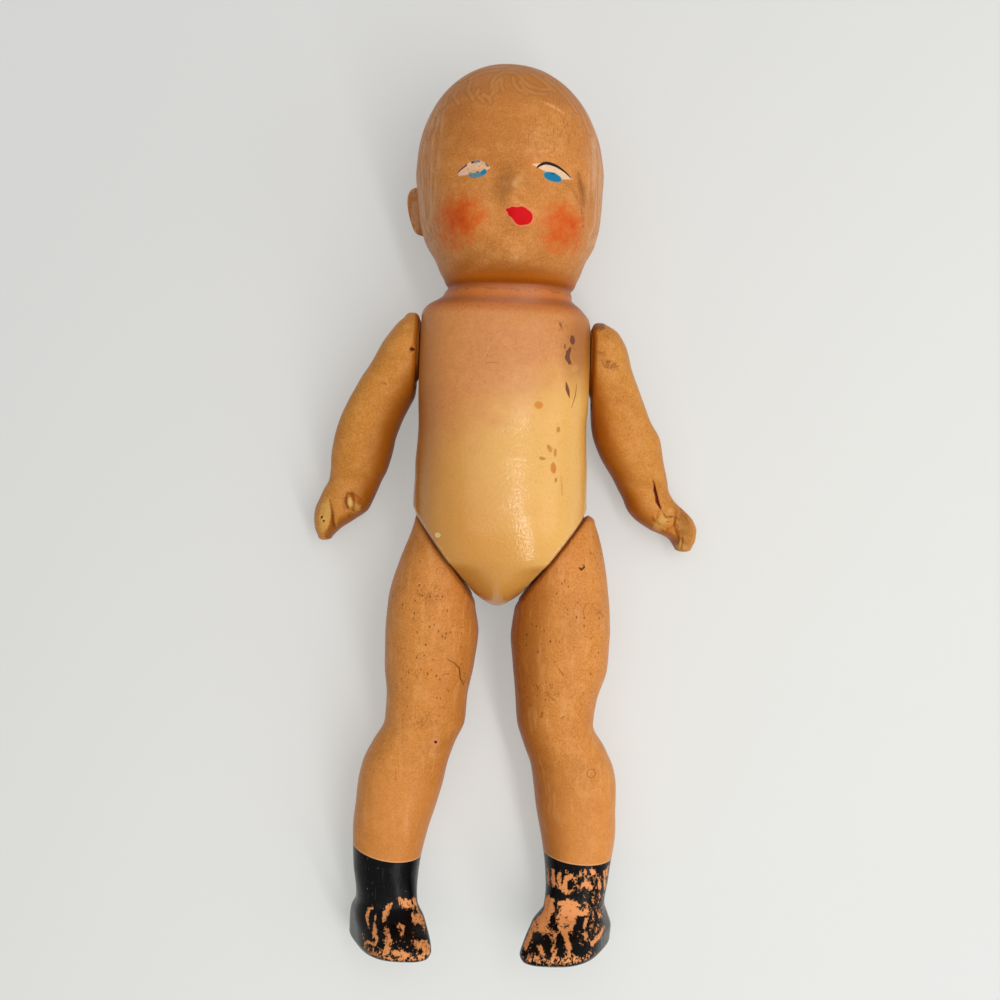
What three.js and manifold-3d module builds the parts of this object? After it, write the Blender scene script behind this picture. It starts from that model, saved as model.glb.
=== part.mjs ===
import * as THREE from 'three';
import { mergeVertices } from 'three/addons/utils/BufferGeometryUtils.js';
import Module from 'manifold-3d';

// Composition baby doll, lying on its back. Millimetres.
// +Y runs to the crown, +Z up out of the chest, +X to the doll's own left side.

// Levels along the body, from the middle of the doll's length
const crownLine = 128.5;
const headWidestLine = 95.4;
const neckLine = 62.4;
const shoulderLine = 46.5;
const hipLine = -12.5;
const crotchLine = -26.8;
const bellyRise = 12.5; // fullest level of the belly above the hip line

// Head and torso, one moulding in a front and a back shell
const headWidth = 54;
const headDepth = 55;
const headTurn = THREE.MathUtils.degToRad(3.5); // the face looks a little to its left
const headRoll = THREE.MathUtils.degToRad(2); // the crown leans a little to its right
const neckWidth = 36.8;
const neckBackHeight = 11.2;
const neckFrontHeight = 42;
const neckCreaseSpacing = 4.4;
const neckCreaseDepth = 1.1;
const shoulderWidth = 48.8; // between the two arm faces
const shoulderFlatDepth = 0.8; // how deep the arm faces are cut into the sides
const shoulderFlatRadius = 22;
const bellyDepth = 50;
const crownHeight = 27; // height of the crown point above the floor
const crotchHeight = 21;
const crotchWidth = 16; // of the small dome between the legs
const crotchRound = 3.4; // how much lower its middle is than its sides
const seamHeight = 24; // parting plane of the two shells above the floor
const shellWall = 3;
const buttockSpacing = 18;
const buttockSwell = 3.2;

// Face
const eyeSpacing = 21.2;
const eyeDrop = 2.5; // eyes below the widest line of the head
const noseDrop = 7.9;
const noseHeight = 4;
const mouthDrop = 15;
const cheekSpacing = 28;
const chinDrop = 23.9;
const earDrop = 8.9;
const earHeight = 17;
const earLength = 14;
const rightEarStandOut = 2.6;
const leftEarStandOut = 0.8;

// Arms
const shoulderHeight = 22; // arm axis above the floor
const armLength = 56.3; // arm axis to finger tips
const leftArmTop = 10; // arm axis up to the rounded top
const rightArmTop = 11.2;
const leftArmSpread = 34.7; // arm face to the outermost side of the hand
const rightArmSpread = 31.1;

// Legs
const hipHalfSpacing = 15.1;
const hipHeight = 22; // leg axis above the floor
const hipSlant = THREE.MathUtils.degToRad(36.6); // slope of the leg faces
const legLength = 116; // leg axis to sole
const thighWidth = 28;
const leftLegSplay = THREE.MathUtils.degToRad(-1);
const rightLegSplay = THREE.MathUtils.degToRad(1.2);
const toeIn = 0.33; // sideways lean of the toes for each millimetre of height
const toeFlare = 0.1; // how much wider than its middle the foot is at the toes

// Limb shells and their joints
const limbWall = 2.5;
const glueLine = 0.3; // gap between the half shells of one moulding
const jointGap = 0.4; // between a limb's face and the torso
const fitGap = 0.3;
const jointHoleClearance = 1.5; // round the wire eye that turns in the hole

// Plugs, wire eyes and elastic
const armPlugRadius = 5.2;
const armPlugLength = 7;
const legPlugRadius = 7.5;
const legPlugLength = 8;
const plugChamfer = 0.8;
const wireRadius = 0.7;
const eyeClearance = 0.4; // round the elastic inside a wire eye
const eyeLegDepth = 5; // how far the legs are driven into the plug
const armEyeReach = 11.4; // from the arm face to the bow of the eye
const legEyeReach = 9;
const cordRadius = 1.5;
const clampLength = 5;
const clampWall = 0.6;

// Head and torso rows: share of the way, half width, back and front.
// The torso's are shares of its half width and the belly's depth, the head's of its own.
const torsoRows = [
  [0, 1, 0.044, 1],
  [0.24, 0.985, 0.112, 0.956],
  [0.4, 0.965, 0.132, 0.92],
  [0.64, 1, 0.12, 0.892],
  [0.8, 0.993, 0.14, 0.868],
  [0.9, 0.96, 0.166, 0.846],
  [0.95, 0.875, 0.19, 0.832],
];
const headRows = [
  [0.13, 0.705, 0.18, 0.82],
  [0.22, 0.755, 0.145, 0.9],
  [0.31, 0.8, 0.113, 0.945],
  [0.48, 0.91, 0.058, 0.985],
  [0.65, 0.96, 0.022, 1],
  [1, 1, 0, 1],
];

// Arm rows: share of the length, inner and outer side of the left arm, then of the right arm,
// as shares of its spread, and back and front as shares of the axis height.
const armRows = [
  [-0.169, -0.094, 0.167, -0.105, 0.18, -0.205, 0.25],
  [-0.12, -0.113, 0.245, -0.126, 0.259, -0.3, 0.35],
  [-0.044, -0.113, 0.317, -0.126, 0.354, -0.386, 0.432],
  [0.057, -0.113, 0.363, -0.126, 0.453, -0.432, 0.432],
  [0.162, -0.056, 0.435, -0.031, 0.574, -0.49, 0.364],
  [0.318, 0.032, 0.549, 0.128, 0.726, -0.614, 0.182],
  [0.421, 0.072, 0.645, 0.207, 0.794, -0.69, 0.09],
  [0.524, 0.148, 0.681, 0.251, 0.832, -0.75, 0],
  [0.625, 0.256, 0.723, 0.307, 0.847, -0.81, -0.114],
  [0.677, 0.303, 0.743, 0.356, 0.861, -0.827, -0.205],
  [0.728, 0.352, 0.792, 0.396, 0.911, -0.864, -0.227],
  [0.78, 0.388, 0.878, 0.436, 0.952, -0.91, -0.227],
  [0.831, 0.458, 0.963, 0.484, 0.99, -0.955, -0.25],
  [0.883, 0.589, 1, 0.61, 1, -0.977, -0.273],
  [0.933, 0.763, 0.994, 0.741, 0.992, -0.98, -0.318],
  [0.98, 0.82, 0.966, 0.823, 0.959, -0.92, -0.42],
];

// Leg rows: share of the length, inner and outer side of the left leg, then of the right leg,
// as shares of the thigh's width, and back and front as shares of the axis height.
const legRows = [
  [-0.114, 0.25, 0.431, 0.25, 0.337, -0.16, 0.16],
  [-0.09, 0.1, 0.451, 0.1, 0.344, -0.4, 0.42],
  [-0.059, -0.1, 0.498, -0.1, 0.373, -0.545, 0.545],
  [0.013, -0.3, 0.577, -0.3, 0.479, -0.727, 0.66],
  [0.116, -0.335, 0.646, -0.325, 0.583, -0.82, 0.636],
  [0.194, -0.367, 0.67, -0.378, 0.597, -0.855, 0.59],
  [0.272, -0.331, 0.663, -0.352, 0.59, -0.873, 0.523],
  [0.358, -0.285, 0.57, -0.296, 0.554, -0.845, 0.41],
  [0.418, -0.253, 0.547, -0.285, 0.558, -0.82, 0.34],
  [0.478, -0.167, 0.685, -0.188, 0.675, -0.82, 0.295],
  [0.53, -0.085, 0.785, -0.127, 0.769, -0.855, 0.273],
  [0.582, -0.043, 0.828, -0.085, 0.808, -0.9, 0.255],
  [0.642, -0.004, 0.836, -0.025, 0.826, -0.927, 0.227],
  [0.694, 0.046, 0.846, 0.036, 0.841, -0.936, 0.182],
  [0.789, 0.121, 0.808, 0.111, 0.818, -0.89, 0.09],
  [0.884, 0.15, 0.781, 0.14, 0.781, -0.9, 0.027],
  [0.918, 0.08, 0.825, 0.1, 0.825, -0.955, 0.18],
  [0.948, 0.083, 0.868, 0.114, 0.838, -0.99, 0.455],
  [0.978, 0.072, 0.865, 0.114, 0.842, -1, 0.59],
  [0.993, 0.094, 0.825, 0.136, 0.81, -0.98, 0.56],
  [1, 0.13, 0.77, 0.172, 0.764, -0.95, 0.49],
];

// Worked out from the driving dimensions
const bellyLine = hipLine + bellyRise;
const shoulderHalfWidth = shoulderWidth / 2;
const torsoHalfWidth = shoulderHalfWidth + shoulderFlatDepth;
const faceLevel = (drop) => headWidestLine - drop;
const trunkAcross = (rightArmSpread - leftArmSpread) / 2; // puts the middle between the hands at zero
const hookRadius = wireRadius + fitGap + cordRadius; // bend of the elastic round a wire eye
const eyeHalfSpacing = wireRadius + eyeClearance + cordRadius; // from its axis to a wire eye's leg
const jointHoleRadius = eyeHalfSpacing + wireRadius + jointHoleClearance;
const clampBore = cordRadius + fitGap;
const farOut = 2 * (crownLine - crotchLine) + legLength; // beyond every piece

const wasm = await Module();
wasm.setup();

const { lerp, smoothstep } = THREE.MathUtils;
const power = (value, exponent) => Math.sign(value) * Math.abs(value) ** exponent;
const bump = (offset, spread) => Math.exp(-((offset / spread) ** 2));

// A solid from points and triangles, turned inside out where its faces point in
function solidFrom(points, triangles) {
  const a = new THREE.Vector3();
  const b = new THREE.Vector3();
  const c = new THREE.Vector3();
  let volume = 0;
  for (let i = 0; i < triangles.length; i += 3) {
    a.fromArray(points, 3 * triangles[i]);
    b.fromArray(points, 3 * triangles[i + 1]);
    c.fromArray(points, 3 * triangles[i + 2]);
    volume += a.dot(b.cross(c));
  }
  const facing = volume < 0 ? triangles.slice().reverse() : triangles;
  return new wasm.Manifold(new wasm.Mesh({
    numProp: 3,
    vertProperties: new Float32Array(points),
    triVerts: new Uint32Array(facing),
  }));
}

function solidOf(geometry) {
  const bare = geometry.clone();
  bare.deleteAttribute('normal');
  bare.deleteAttribute('uv');
  const merged = mergeVertices(bare, 1e-4);
  const index = merged.index.array;
  const triangles = [];
  for (let i = 0; i < index.length; i += 3) {
    const [a, b, c] = index.slice(i, i + 3);
    if (a !== b && b !== c && c !== a) triangles.push(a, b, c);
  }
  return solidFrom(Array.from(merged.attributes.position.array), triangles);
}

function geometryOf(solid) {
  const { vertProperties, triVerts } = solid.getMesh();
  const geometry = new THREE.BufferGeometry();
  geometry.setAttribute('position', new THREE.BufferAttribute(new Float32Array(vertProperties), 3));
  geometry.setIndex(new THREE.BufferAttribute(new Uint32Array(triVerts), 1));
  geometry.computeVertexNormals();
  return geometry;
}

// Smooth function through [level, value] points, with no overshoot between them
function smoothCurve(points) {
  const secant = (i) => (points[i + 1][1] - points[i][1]) / (points[i + 1][0] - points[i][0]);
  const last = points.length - 1;
  const slopes = points.map((point, i) => {
    if (i === 0) return secant(0);
    if (i === last) return secant(last - 1);
    const before = secant(i - 1);
    const after = secant(i);
    return before * after > 0 ? (2 * before * after) / (before + after) : 0;
  });
  return (level) => {
    const inside = THREE.MathUtils.clamp(level, points[0][0], points[last][0]);
    let i = 0;
    while (i < last - 1 && inside > points[i + 1][0]) i += 1;
    const span = points[i + 1][0] - points[i][0];
    const t = (inside - points[i][0]) / span;
    const start = (1 + 2 * t) * (1 - t) ** 2 * points[i][1] + t * (1 - t) ** 2 * span * slopes[i];
    return start + t * t * (3 - 2 * t) * points[i + 1][1] - t * t * (1 - t) * span * slopes[i + 1];
  };
}

function smoothColumns(rows) {
  return rows[0].slice(1).map((value, column) => smoothCurve(rows.map((row) => [row[0], row[column + 1]])));
}

// Levels from one to another in equal steps no longer than the given one, without the last
function levelSteps(from, to, longest) {
  const count = Math.ceil(Math.abs(to - from) / longest);
  return Array.from({ length: count }, (unused, k) => lerp(from, to, k / count));
}

// Closed skin over rings of points, with a point at each end
function loft(rings, firstPoint, lastPoint) {
  const count = rings[0].length;
  const points = rings.flat(2).concat(firstPoint, lastPoint);
  const first = rings.length * count;
  const lastRing = first - count;
  const triangles = [];
  for (let k = 0; k < count; k += 1) {
    const next = (k + 1) % count;
    triangles.push(first, next, k, first + 1, lastRing + k, lastRing + next);
    for (let start = 0; start < lastRing; start += count) {
      const above = start + count;
      triangles.push(start + k, start + next, above + next, start + k, above + next, above + k);
    }
  }
  return solidFrom(points, triangles);
}

function boxAt(width, height, depth, matrix) {
  return solidOf(new THREE.BoxGeometry(width, height, depth).applyMatrix4(matrix));
}

// Cylinder along X from one place to another, in the frame of a joint
function rodAlongX(radius, from, to, sides, matrix) {
  const rod = new THREE.CylinderGeometry(radius, radius, to - from, sides);
  rod.rotateZ(-Math.PI / 2).translate((from + to) / 2, 0, 0);
  return solidOf(rod.applyMatrix4(matrix));
}

// Everything on the outer side of a joint's face, from a distance outwards along its axis
function beyondFace(distance, matrix) {
  const shift = new THREE.Matrix4().makeTranslation(distance + farOut / 2, 0, 0);
  return boxAt(farOut, farOut, farOut, matrix.clone().multiply(shift));
}

// Frames of the joints: +X points out of the torso along the axis
const shoulderFrame = (side) => ({
  position: new THREE.Vector3(side * shoulderHalfWidth, shoulderLine, shoulderHeight),
  angle: side > 0 ? 0 : Math.PI,
});
const hipFrame = (side) => ({
  position: new THREE.Vector3(side * hipHalfSpacing, hipLine, hipHeight),
  angle: side > 0 ? -hipSlant : Math.PI + hipSlant,
});
const frameMatrix = ({ position, angle }) => new THREE.Matrix4().makeRotationZ(angle).setPosition(position);

// Head and torso

const trunkRows = [
  ...torsoRows.map(([along, half, back, front]) => [
    lerp(bellyLine, neckLine, along), half * torsoHalfWidth, back * bellyDepth, front * bellyDepth,
  ]),
  [neckLine, neckWidth / 2, neckBackHeight, neckFrontHeight],
  ...headRows.map(([along, half, back, front]) => [
    lerp(neckLine, headWidestLine, along), (half * headWidth) / 2, back * headDepth, front * headDepth,
  ]),
];
const [trunkHalf, trunkBack, trunkFront] = smoothColumns(trunkRows);
const domePower = 2.1;
const sectionPower = 2 / 2.35; // slightly squarer than an ellipse
const footPower = 2 / 2.9;

function domeShare(level, inset) {
  const crown = (level - headWidestLine) / (crownLine - inset - headWidestLine);
  const crotch = (bellyLine - level) / (bellyLine - crotchLine - inset);
  return (1 - Math.max(crown, crotch, 0) ** domePower) ** (1 / domePower);
}

function trunkSection(level, inset) {
  const dome = domeShare(level, inset);
  const middle = level > neckLine ? crownHeight : crotchHeight;
  return {
    half: (trunkHalf(level) - inset) * dome,
    back: lerp(middle, trunkBack(level) + inset, dome),
    front: lerp(middle, trunkFront(level) - inset, dome),
    side: lerp(middle, seamHeight, dome),
  };
}

// Forms of the face: place across and level, height, and spread across and along
const pair = true;
const faceForms = [
  { across: 0, level: faceLevel(noseDrop), height: noseHeight, spread: 4, rise: 4.2 },
  { across: 0, level: faceLevel(noseDrop - 5), height: 1.3, spread: 4, rise: 5 },
  { pair, across: 3, level: faceLevel(noseDrop + 1.6), height: 1, spread: 2.2, rise: 2.2 },
  { pair, across: eyeSpacing / 2, level: faceLevel(eyeDrop - 0.4), height: -2, spread: 6.5, rise: 4 },
  { pair, across: eyeSpacing / 2, level: faceLevel(eyeDrop + 0.5), height: 1.3, spread: 4, rise: 2.4 },
  { pair, across: eyeSpacing / 2 - 1, level: faceLevel(eyeDrop - 7), height: 0.7, spread: 8, rise: 3 },
  { pair, across: cheekSpacing / 2, level: faceLevel(mouthDrop), height: 2.2, spread: 8.5, rise: 8 },
  { across: 0, level: faceLevel(mouthDrop), height: 1.5, spread: 5.5, rise: 4 },
  { across: 0, level: faceLevel(mouthDrop + 0.2), height: -0.8, spread: 3.6, rise: 0.9 },
  { across: 0, level: faceLevel(mouthDrop + 4.8), height: -0.8, spread: 5, rise: 1.8 },
  { across: 0, level: faceLevel(chinDrop), height: 2, spread: 7, rise: 3.6 },
  { across: 3, level: crownLine - 6.5, height: 1, spread: 7, rise: 2.6 },
];

function faceRelief(across, level) {
  return faceForms.reduce((sum, form) => {
    const place = form.pair ? Math.abs(across) : across;
    return sum + form.height * bump(place - form.across, form.spread) * bump(level - form.level, form.rise);
  }, 0);
}

function buttockRelief(across, level) {
  const lobe = bump(Math.abs(across) - buttockSpacing / 2, buttockSpacing / 2);
  return buttockSwell * lobe * bump(level - hipLine - 3, 11);
}

// A sharp crease under the chin and a softer one below it
function neckCrease(level) {
  const offset = level - neckLine;
  const upper = bump(offset - neckCreaseSpacing / 2, 1.1);
  return neckCreaseDepth * (upper + 0.6 * bump(offset + neckCreaseSpacing / 2, 1.8));
}

// The crotch is a small dome: its rings rise sideways from the middle
function crotchRise(x, level) {
  const share = Math.min((2 * Math.abs(x)) / crotchWidth, 1);
  return crotchRound * share * share * smoothstep(-level, -hipLine, -lerp(crotchLine, hipLine, 0.3));
}

// Sideways lean of the head about its eye line, fading out between the neck's creases
function headLean(level) {
  const fade = smoothstep(level, neckLine - neckCreaseSpacing, neckLine + neckCreaseSpacing);
  return Math.tan(headRoll) * (faceLevel(eyeDrop) - level) * fade;
}

// Turn of the head about a line through its middle, fading out down the neck
function turnHead(x, level, z) {
  const angle = headTurn * smoothstep(level, neckLine, neckLine + neckWidth / 3);
  const up = z - headDepth / 2;
  return [
    x * Math.cos(angle) + up * Math.sin(angle) + headLean(level),
    level,
    headDepth / 2 + up * Math.cos(angle) - x * Math.sin(angle),
  ];
}

function trunkRing(level, frontCount, backCount) {
  const section = trunkSection(level, 0);
  const crease = neckCrease(level);
  const ring = [];
  for (let k = 0; k < frontCount; k += 1) {
    const share = k / frontCount;
    const turn = Math.PI * (share + (0.4 * Math.sin(2 * Math.PI * share)) / (2 * Math.PI)); // finer in front
    const x = (section.half - crease) * power(Math.cos(turn), sectionPower);
    const rise = (section.front - crease - section.side) * power(Math.sin(turn), sectionPower);
    const z = section.side + rise + faceRelief(x, level) * Math.sin(turn);
    ring.push(turnHead(x, level + crotchRise(x, level), z));
  }
  for (let k = 0; k < backCount; k += 1) {
    const turn = (Math.PI * k) / backCount;
    const x = -(section.half - crease) * power(Math.cos(turn), sectionPower);
    const drop = (section.side - section.back - crease) * power(Math.sin(turn), sectionPower);
    const z = section.side - drop - buttockRelief(x, level) * Math.sin(turn);
    ring.push(turnHead(x, level + crotchRise(x, level), z));
  }
  return ring;
}

function trunkSkin() {
  const domeAngles = [0.2, 0.4, 0.56, 0.7, 0.82, 0.92].map((share) => Math.sin((share * Math.PI) / 2));
  const levels = [
    ...domeAngles.map((share) => lerp(bellyLine, crotchLine, share)).reverse(),
    ...levelSteps(bellyLine, lerp(bellyLine, neckLine, 0.86), 8),
    ...levelSteps(lerp(bellyLine, neckLine, 0.86), faceLevel(chinDrop), 1.7),
    ...levelSteps(faceLevel(chinDrop), headWidestLine, 1.8),
    ...domeAngles.map((share) => lerp(headWidestLine, crownLine, share)),
  ];
  const rings = levels.map((level) => trunkRing(level, 28, 10));
  return loft(rings, [0, crotchLine, crotchHeight], turnHead(0, crownLine, crownHeight));
}

function trunkCavity() {
  const lowest = crotchLine + shellWall;
  const highest = crownLine - shellWall;
  const levels = [0.06, 0.16, 0.3, 0.42, 0.52, 0.58, 0.66, 0.76, 0.86, 0.95, 0.99];
  const rings = levels.map((share) => {
    const level = lerp(lowest, highest, share);
    const section = trunkSection(level, shellWall);
    return Array.from({ length: 16 }, (unused, k) => {
      const turn = (Math.PI * k) / 8;
      const depth = k < 8 ? section.front - section.side : section.side - section.back;
      const x = section.half * Math.cos(turn);
      return turnHead(x, level + crotchRise(x, level), section.side + depth * Math.sin(turn));
    });
  });
  return loft(rings, [0, lowest, crotchHeight], turnHead(0, highest, crownHeight));
}

// A dished oval standing out of the side of the head
function ear(side) {
  const deep = 0.3 * earLength;
  const standOut = side > 0 ? leftEarStandOut : rightEarStandOut;
  const place = side * (headWidth - standOut) / 2;
  const turned = new THREE.Matrix4().makeRotationY(headTurn);
  const seat = (geometry, x) => {
    geometry.translate(x, faceLevel(earDrop), earHeight - headDepth / 2);
    return solidOf(geometry.applyMatrix4(turned).translate(headLean(faceLevel(earDrop)), 0, headDepth / 2));
  };
  const oval = new THREE.SphereGeometry(1, 12, 8).scale(1.4 * standOut, earLength / 2, deep);
  const dish = new THREE.SphereGeometry(1, 10, 6).scale(standOut, 0.3 * earLength, 0.55 * deep);
  return seat(oval, place).subtract(seat(dish, place + side * 1.7 * standOut));
}

// Cutter for the flat that an arm turns against
function shoulderFlat(side) {
  return rodAlongX(shoulderFlatRadius, 0, shoulderWidth / 4, 28, frameMatrix(shoulderFrame(side)));
}

function trunkShells() {
  let skin = trunkSkin();
  let cavity = trunkCavity();
  for (const side of [1, -1]) {
    const shoulder = frameMatrix(shoulderFrame(side));
    const hip = frameMatrix(hipFrame(side));
    skin = skin.add(ear(side)).subtract(shoulderFlat(side)).subtract(beyondFace(0, hip));
    cavity = cavity.subtract(beyondFace(-shellWall, hip));
    const shoulderHole = rodAlongX(jointHoleRadius, -armEyeReach, shellWall, 16, shoulder);
    const hipHole = rodAlongX(jointHoleRadius, -legEyeReach, shellWall, 16, hip);
    cavity = cavity.add(shoulderHole).add(hipHole);
  }
  const shell = skin.subtract(cavity);
  const half = (direction) => {
    const middle = seamHeight + direction * (farOut + glueLine) / 2;
    return shell.intersect(boxAt(farOut, farOut, farOut, new THREE.Matrix4().makeTranslation(0, 0, middle)));
  };
  return { front: half(1), back: half(-1) };
}

// Limbs

// Sides, back and front of a limb at a share of its length, drawn in by an inset
function limbSection(curves, along, side, width, depth, inset) {
  const [leftInner, leftOuter, rightInner, rightOuter, back, front] = curves.map((curve) => curve(along));
  return {
    inner: (side > 0 ? leftInner : rightInner) * width + inset,
    outer: (side > 0 ? leftOuter : rightOuter) * width - inset,
    back: back * depth + inset,
    front: front * depth - inset,
  };
}

// Ring of a limb around its own middle, in the frame of its joint, outwards to the given side.
// A foot is squarer than the rest and wider at the toes.
function limbRing(section, level, side, count, lean = () => 0, foot = 0) {
  const middle = (section.inner + section.outer) / 2;
  const half = (section.outer - section.inner) / 2;
  const height = (section.back + section.front) / 2;
  const depth = (section.front - section.back) / 2;
  return Array.from({ length: count }, (unused, k) => {
    const turn = (2 * Math.PI * k) / count;
    const z = height + depth * power(Math.sin(turn), lerp(sectionPower, footPower, foot));
    const flare = 1 + toeFlare * foot * Math.sin(turn);
    const x = middle + half * flare * power(Math.cos(turn), lerp(sectionPower, footPower, foot));
    return [side * (x + lean(level, z)), -level, z];
  });
}

// Rings of a limb through its rows, with steps between rows that lie far apart
function limbLevels(rows, length, longest) {
  const levels = rows.slice(1).flatMap((row, i) => levelSteps(rows[i][0] * length, row[0] * length, longest));
  return [...levels, rows[rows.length - 1][0] * length];
}

// Middle line of a limb, from which the parting of its two shells is cut
function partingCutter(line, side, outwards) {
  const reach = side * outwards * farOut;
  const shift = (side * outwards * glueLine) / 2;
  const shape = new THREE.Shape();
  shape.moveTo(reach, line[0].y);
  line.forEach((point) => shape.lineTo(point.x + shift, point.y));
  shape.lineTo(reach, line[line.length - 1].y);
  const block = new THREE.ExtrudeGeometry(shape, { depth: farOut, bevelEnabled: false });
  return solidOf(block.translate(0, 0, -farOut / 2));
}

// The two shells of a limb: skin cut by its joint's face, bored for the plug, hollowed and parted
function limbShells({ skin, cavity, line, side, face, plugRadius, plugLength }) {
  const pocket = rodAlongX(plugRadius + fitGap, 0, jointGap + plugLength + fitGap, 20, face);
  const shell = skin.intersect(beyondFace(jointGap, face)).subtract(cavity).subtract(pocket);
  return {
    outer: shell.intersect(partingCutter(line, side, 1)),
    inner: shell.intersect(partingCutter(line, side, -1)),
  };
}

const armCurves = smoothColumns(armRows);
const armSpread = (side) => (side > 0 ? leftArmSpread : rightArmSpread);

const armSection = (level, side, inset) => (
  limbSection(armCurves, level / armLength, side, armSpread(side), shoulderHeight, inset)
);

function armShells(side) {
  const levels = limbLevels(armRows, armLength, 6);
  const rings = levels.map((level) => limbRing(armSection(level, side, 0), level, side, 14));
  const spread = armSpread(side);
  const top = [side * 0.05 * spread, side > 0 ? leftArmTop : rightArmTop, 0.02 * shoulderHeight];
  const tip = [side * 0.9 * spread, -armLength, -0.67 * shoulderHeight];
  const thumbPlace = side > 0 ? [0.68, 0.83, -0.33] : [0.64, 0.8, -0.24];
  const thumb = new THREE.SphereGeometry(1, 12, 8).scale(2, 3.2, 3);
  thumb.translate(side * thumbPlace[0] * spread, -thumbPlace[1] * armLength, thumbPlace[2] * shoulderHeight);
  const hollowLevels = levelSteps(armPlugRadius + 2 * limbWall, 0.66 * armLength, 9);
  const hollow = hollowLevels.map((level) => limbRing(armSection(level, side, limbWall), level, side, 10));
  const capPoint = (ring) => [0, 1, 2].map((axis) => (ring[0][axis] + ring[5][axis]) / 2);
  const line = [-0.4 * armLength, ...levels, 1.4 * armLength].map((level) => {
    const section = armSection(level, side, 0);
    return { x: (side * (Math.max(section.inner, jointGap) + section.outer)) / 2, y: -level };
  });
  const { angle } = shoulderFrame(side);
  return limbShells({
    skin: loft(rings, top, tip).add(solidOf(thumb)),
    cavity: loft(hollow, capPoint(hollow[0]), capPoint(hollow[hollow.length - 1])),
    line,
    side,
    face: new THREE.Matrix4().makeRotationZ(angle),
    plugRadius: armPlugRadius,
    plugLength: armPlugLength,
  });
}

const legCurves = smoothColumns(legRows);

const legSection = (level, side, inset) => (
  limbSection(legCurves, level / legLength, side, thighWidth, hipHeight, inset)
);

function legShells(side) {
  const splay = side > 0 ? leftLegSplay : rightLegSplay;
  const foot = (level) => smoothstep(level, 0.8 * legLength, 0.96 * legLength);
  const lean = (level, z) => level * Math.tan(splay) - toeIn * foot(level) * (z + hipHeight / 2);
  const levels = limbLevels(legRows, legLength, 9);
  const rings = levels.map((level) => (
    limbRing(legSection(level, side, 0), level, side, 16, lean, foot(level))
  ));
  const middle = (ring) => [0, 1, 2].map((axis) => (ring[0][axis] + ring[ring.length / 2][axis]) / 2);
  const hollowLevels = levelSteps(legPlugRadius + 4 * limbWall, 0.84 * legLength, 9);
  const hollow = hollowLevels.map((level) => (
    limbRing(legSection(level, side, limbWall), level, side, 12, lean)
  ));
  const slope = Math.tan(hipSlant);
  const line = [-0.4 * legLength, ...levels, 1.4 * legLength].map((level) => {
    const section = legSection(level, side, 0);
    const faceSide = Math.max(section.inner, -level * slope);
    return { x: side * ((faceSide + section.outer) / 2 + lean(level, 0)), y: -level };
  });
  const { angle } = hipFrame(side);
  return limbShells({
    skin: loft(rings, middle(rings[0]), middle(rings[rings.length - 1])),
    cavity: loft(hollow, middle(hollow[0]), middle(hollow[hollow.length - 1])),
    line,
    side,
    face: new THREE.Matrix4().makeRotationZ(angle),
    plugRadius: legPlugRadius,
    plugLength: legPlugLength,
  });
}

// Wooden plug with the two holes of the wire eye, its face flush with the limb's
function plug(radius, length) {
  const profile = [
    new THREE.Vector2(0, 0),
    new THREE.Vector2(radius, 0),
    new THREE.Vector2(radius, length - plugChamfer),
    new THREE.Vector2(radius - plugChamfer, length),
    new THREE.Vector2(0, length),
  ];
  const turned = new THREE.LatheGeometry(profile, 20).rotateZ(-Math.PI / 2).translate(jointGap, 0, 0);
  return [1, -1].reduce((wood, place) => {
    const hole = new THREE.CylinderGeometry(wireRadius + fitGap, wireRadius + fitGap, 2 * eyeLegDepth, 8);
    hole.rotateZ(Math.PI / 2).translate(jointGap + fitGap, place * eyeHalfSpacing, 0);
    return wood.subtract(solidOf(hole));
  }, solidOf(turned));
}

function roundSection(radius, sides) {
  const points = Array.from({ length: sides }, (unused, k) => {
    const turn = (2 * Math.PI * (k + 0.5)) / sides;
    return new THREE.Vector2(radius * Math.cos(turn), radius * Math.sin(turn));
  });
  return new THREE.Shape(points);
}

// Half circle from one arm of a hook to the other, bulging along its axis
class HookBend extends THREE.Curve {
  constructor(centre, bulge, start, radius) {
    super();
    Object.assign(this, { centre, bulge, start, radius });
  }

  getPoint(t, target = new THREE.Vector3()) {
    target.copy(this.centre).addScaledVector(this.start, this.radius * Math.cos(Math.PI * t));
    return target.addScaledVector(this.bulge, this.radius * Math.sin(Math.PI * t));
  }
}

function curveThrough(pieces) {
  const path = new THREE.CurvePath();
  pieces.forEach((piece) => path.add(piece));
  return path;
}

// Staple of bent wire: two straight legs in the plug and a round bow inside the torso
function wireEye(reach) {
  const legEnd = jointGap + eyeLegDepth;
  const bowCentre = eyeHalfSpacing - reach;
  const at = (x, place) => new THREE.Vector3(x, place * eyeHalfSpacing, 0);
  const bow = new HookBend(
    new THREE.Vector3(bowCentre, 0, 0),
    new THREE.Vector3(-1, 0, 0),
    new THREE.Vector3(0, 1, 0),
    eyeHalfSpacing,
  );
  const path = curveThrough([
    new THREE.LineCurve3(at(legEnd, 1), at(bowCentre, 1)),
    bow,
    new THREE.LineCurve3(at(bowCentre, -1), at(legEnd, -1)),
  ]);
  return new THREE.ExtrudeGeometry(roundSection(wireRadius, 6), { steps: 18, extrudePath: path });
}

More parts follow.
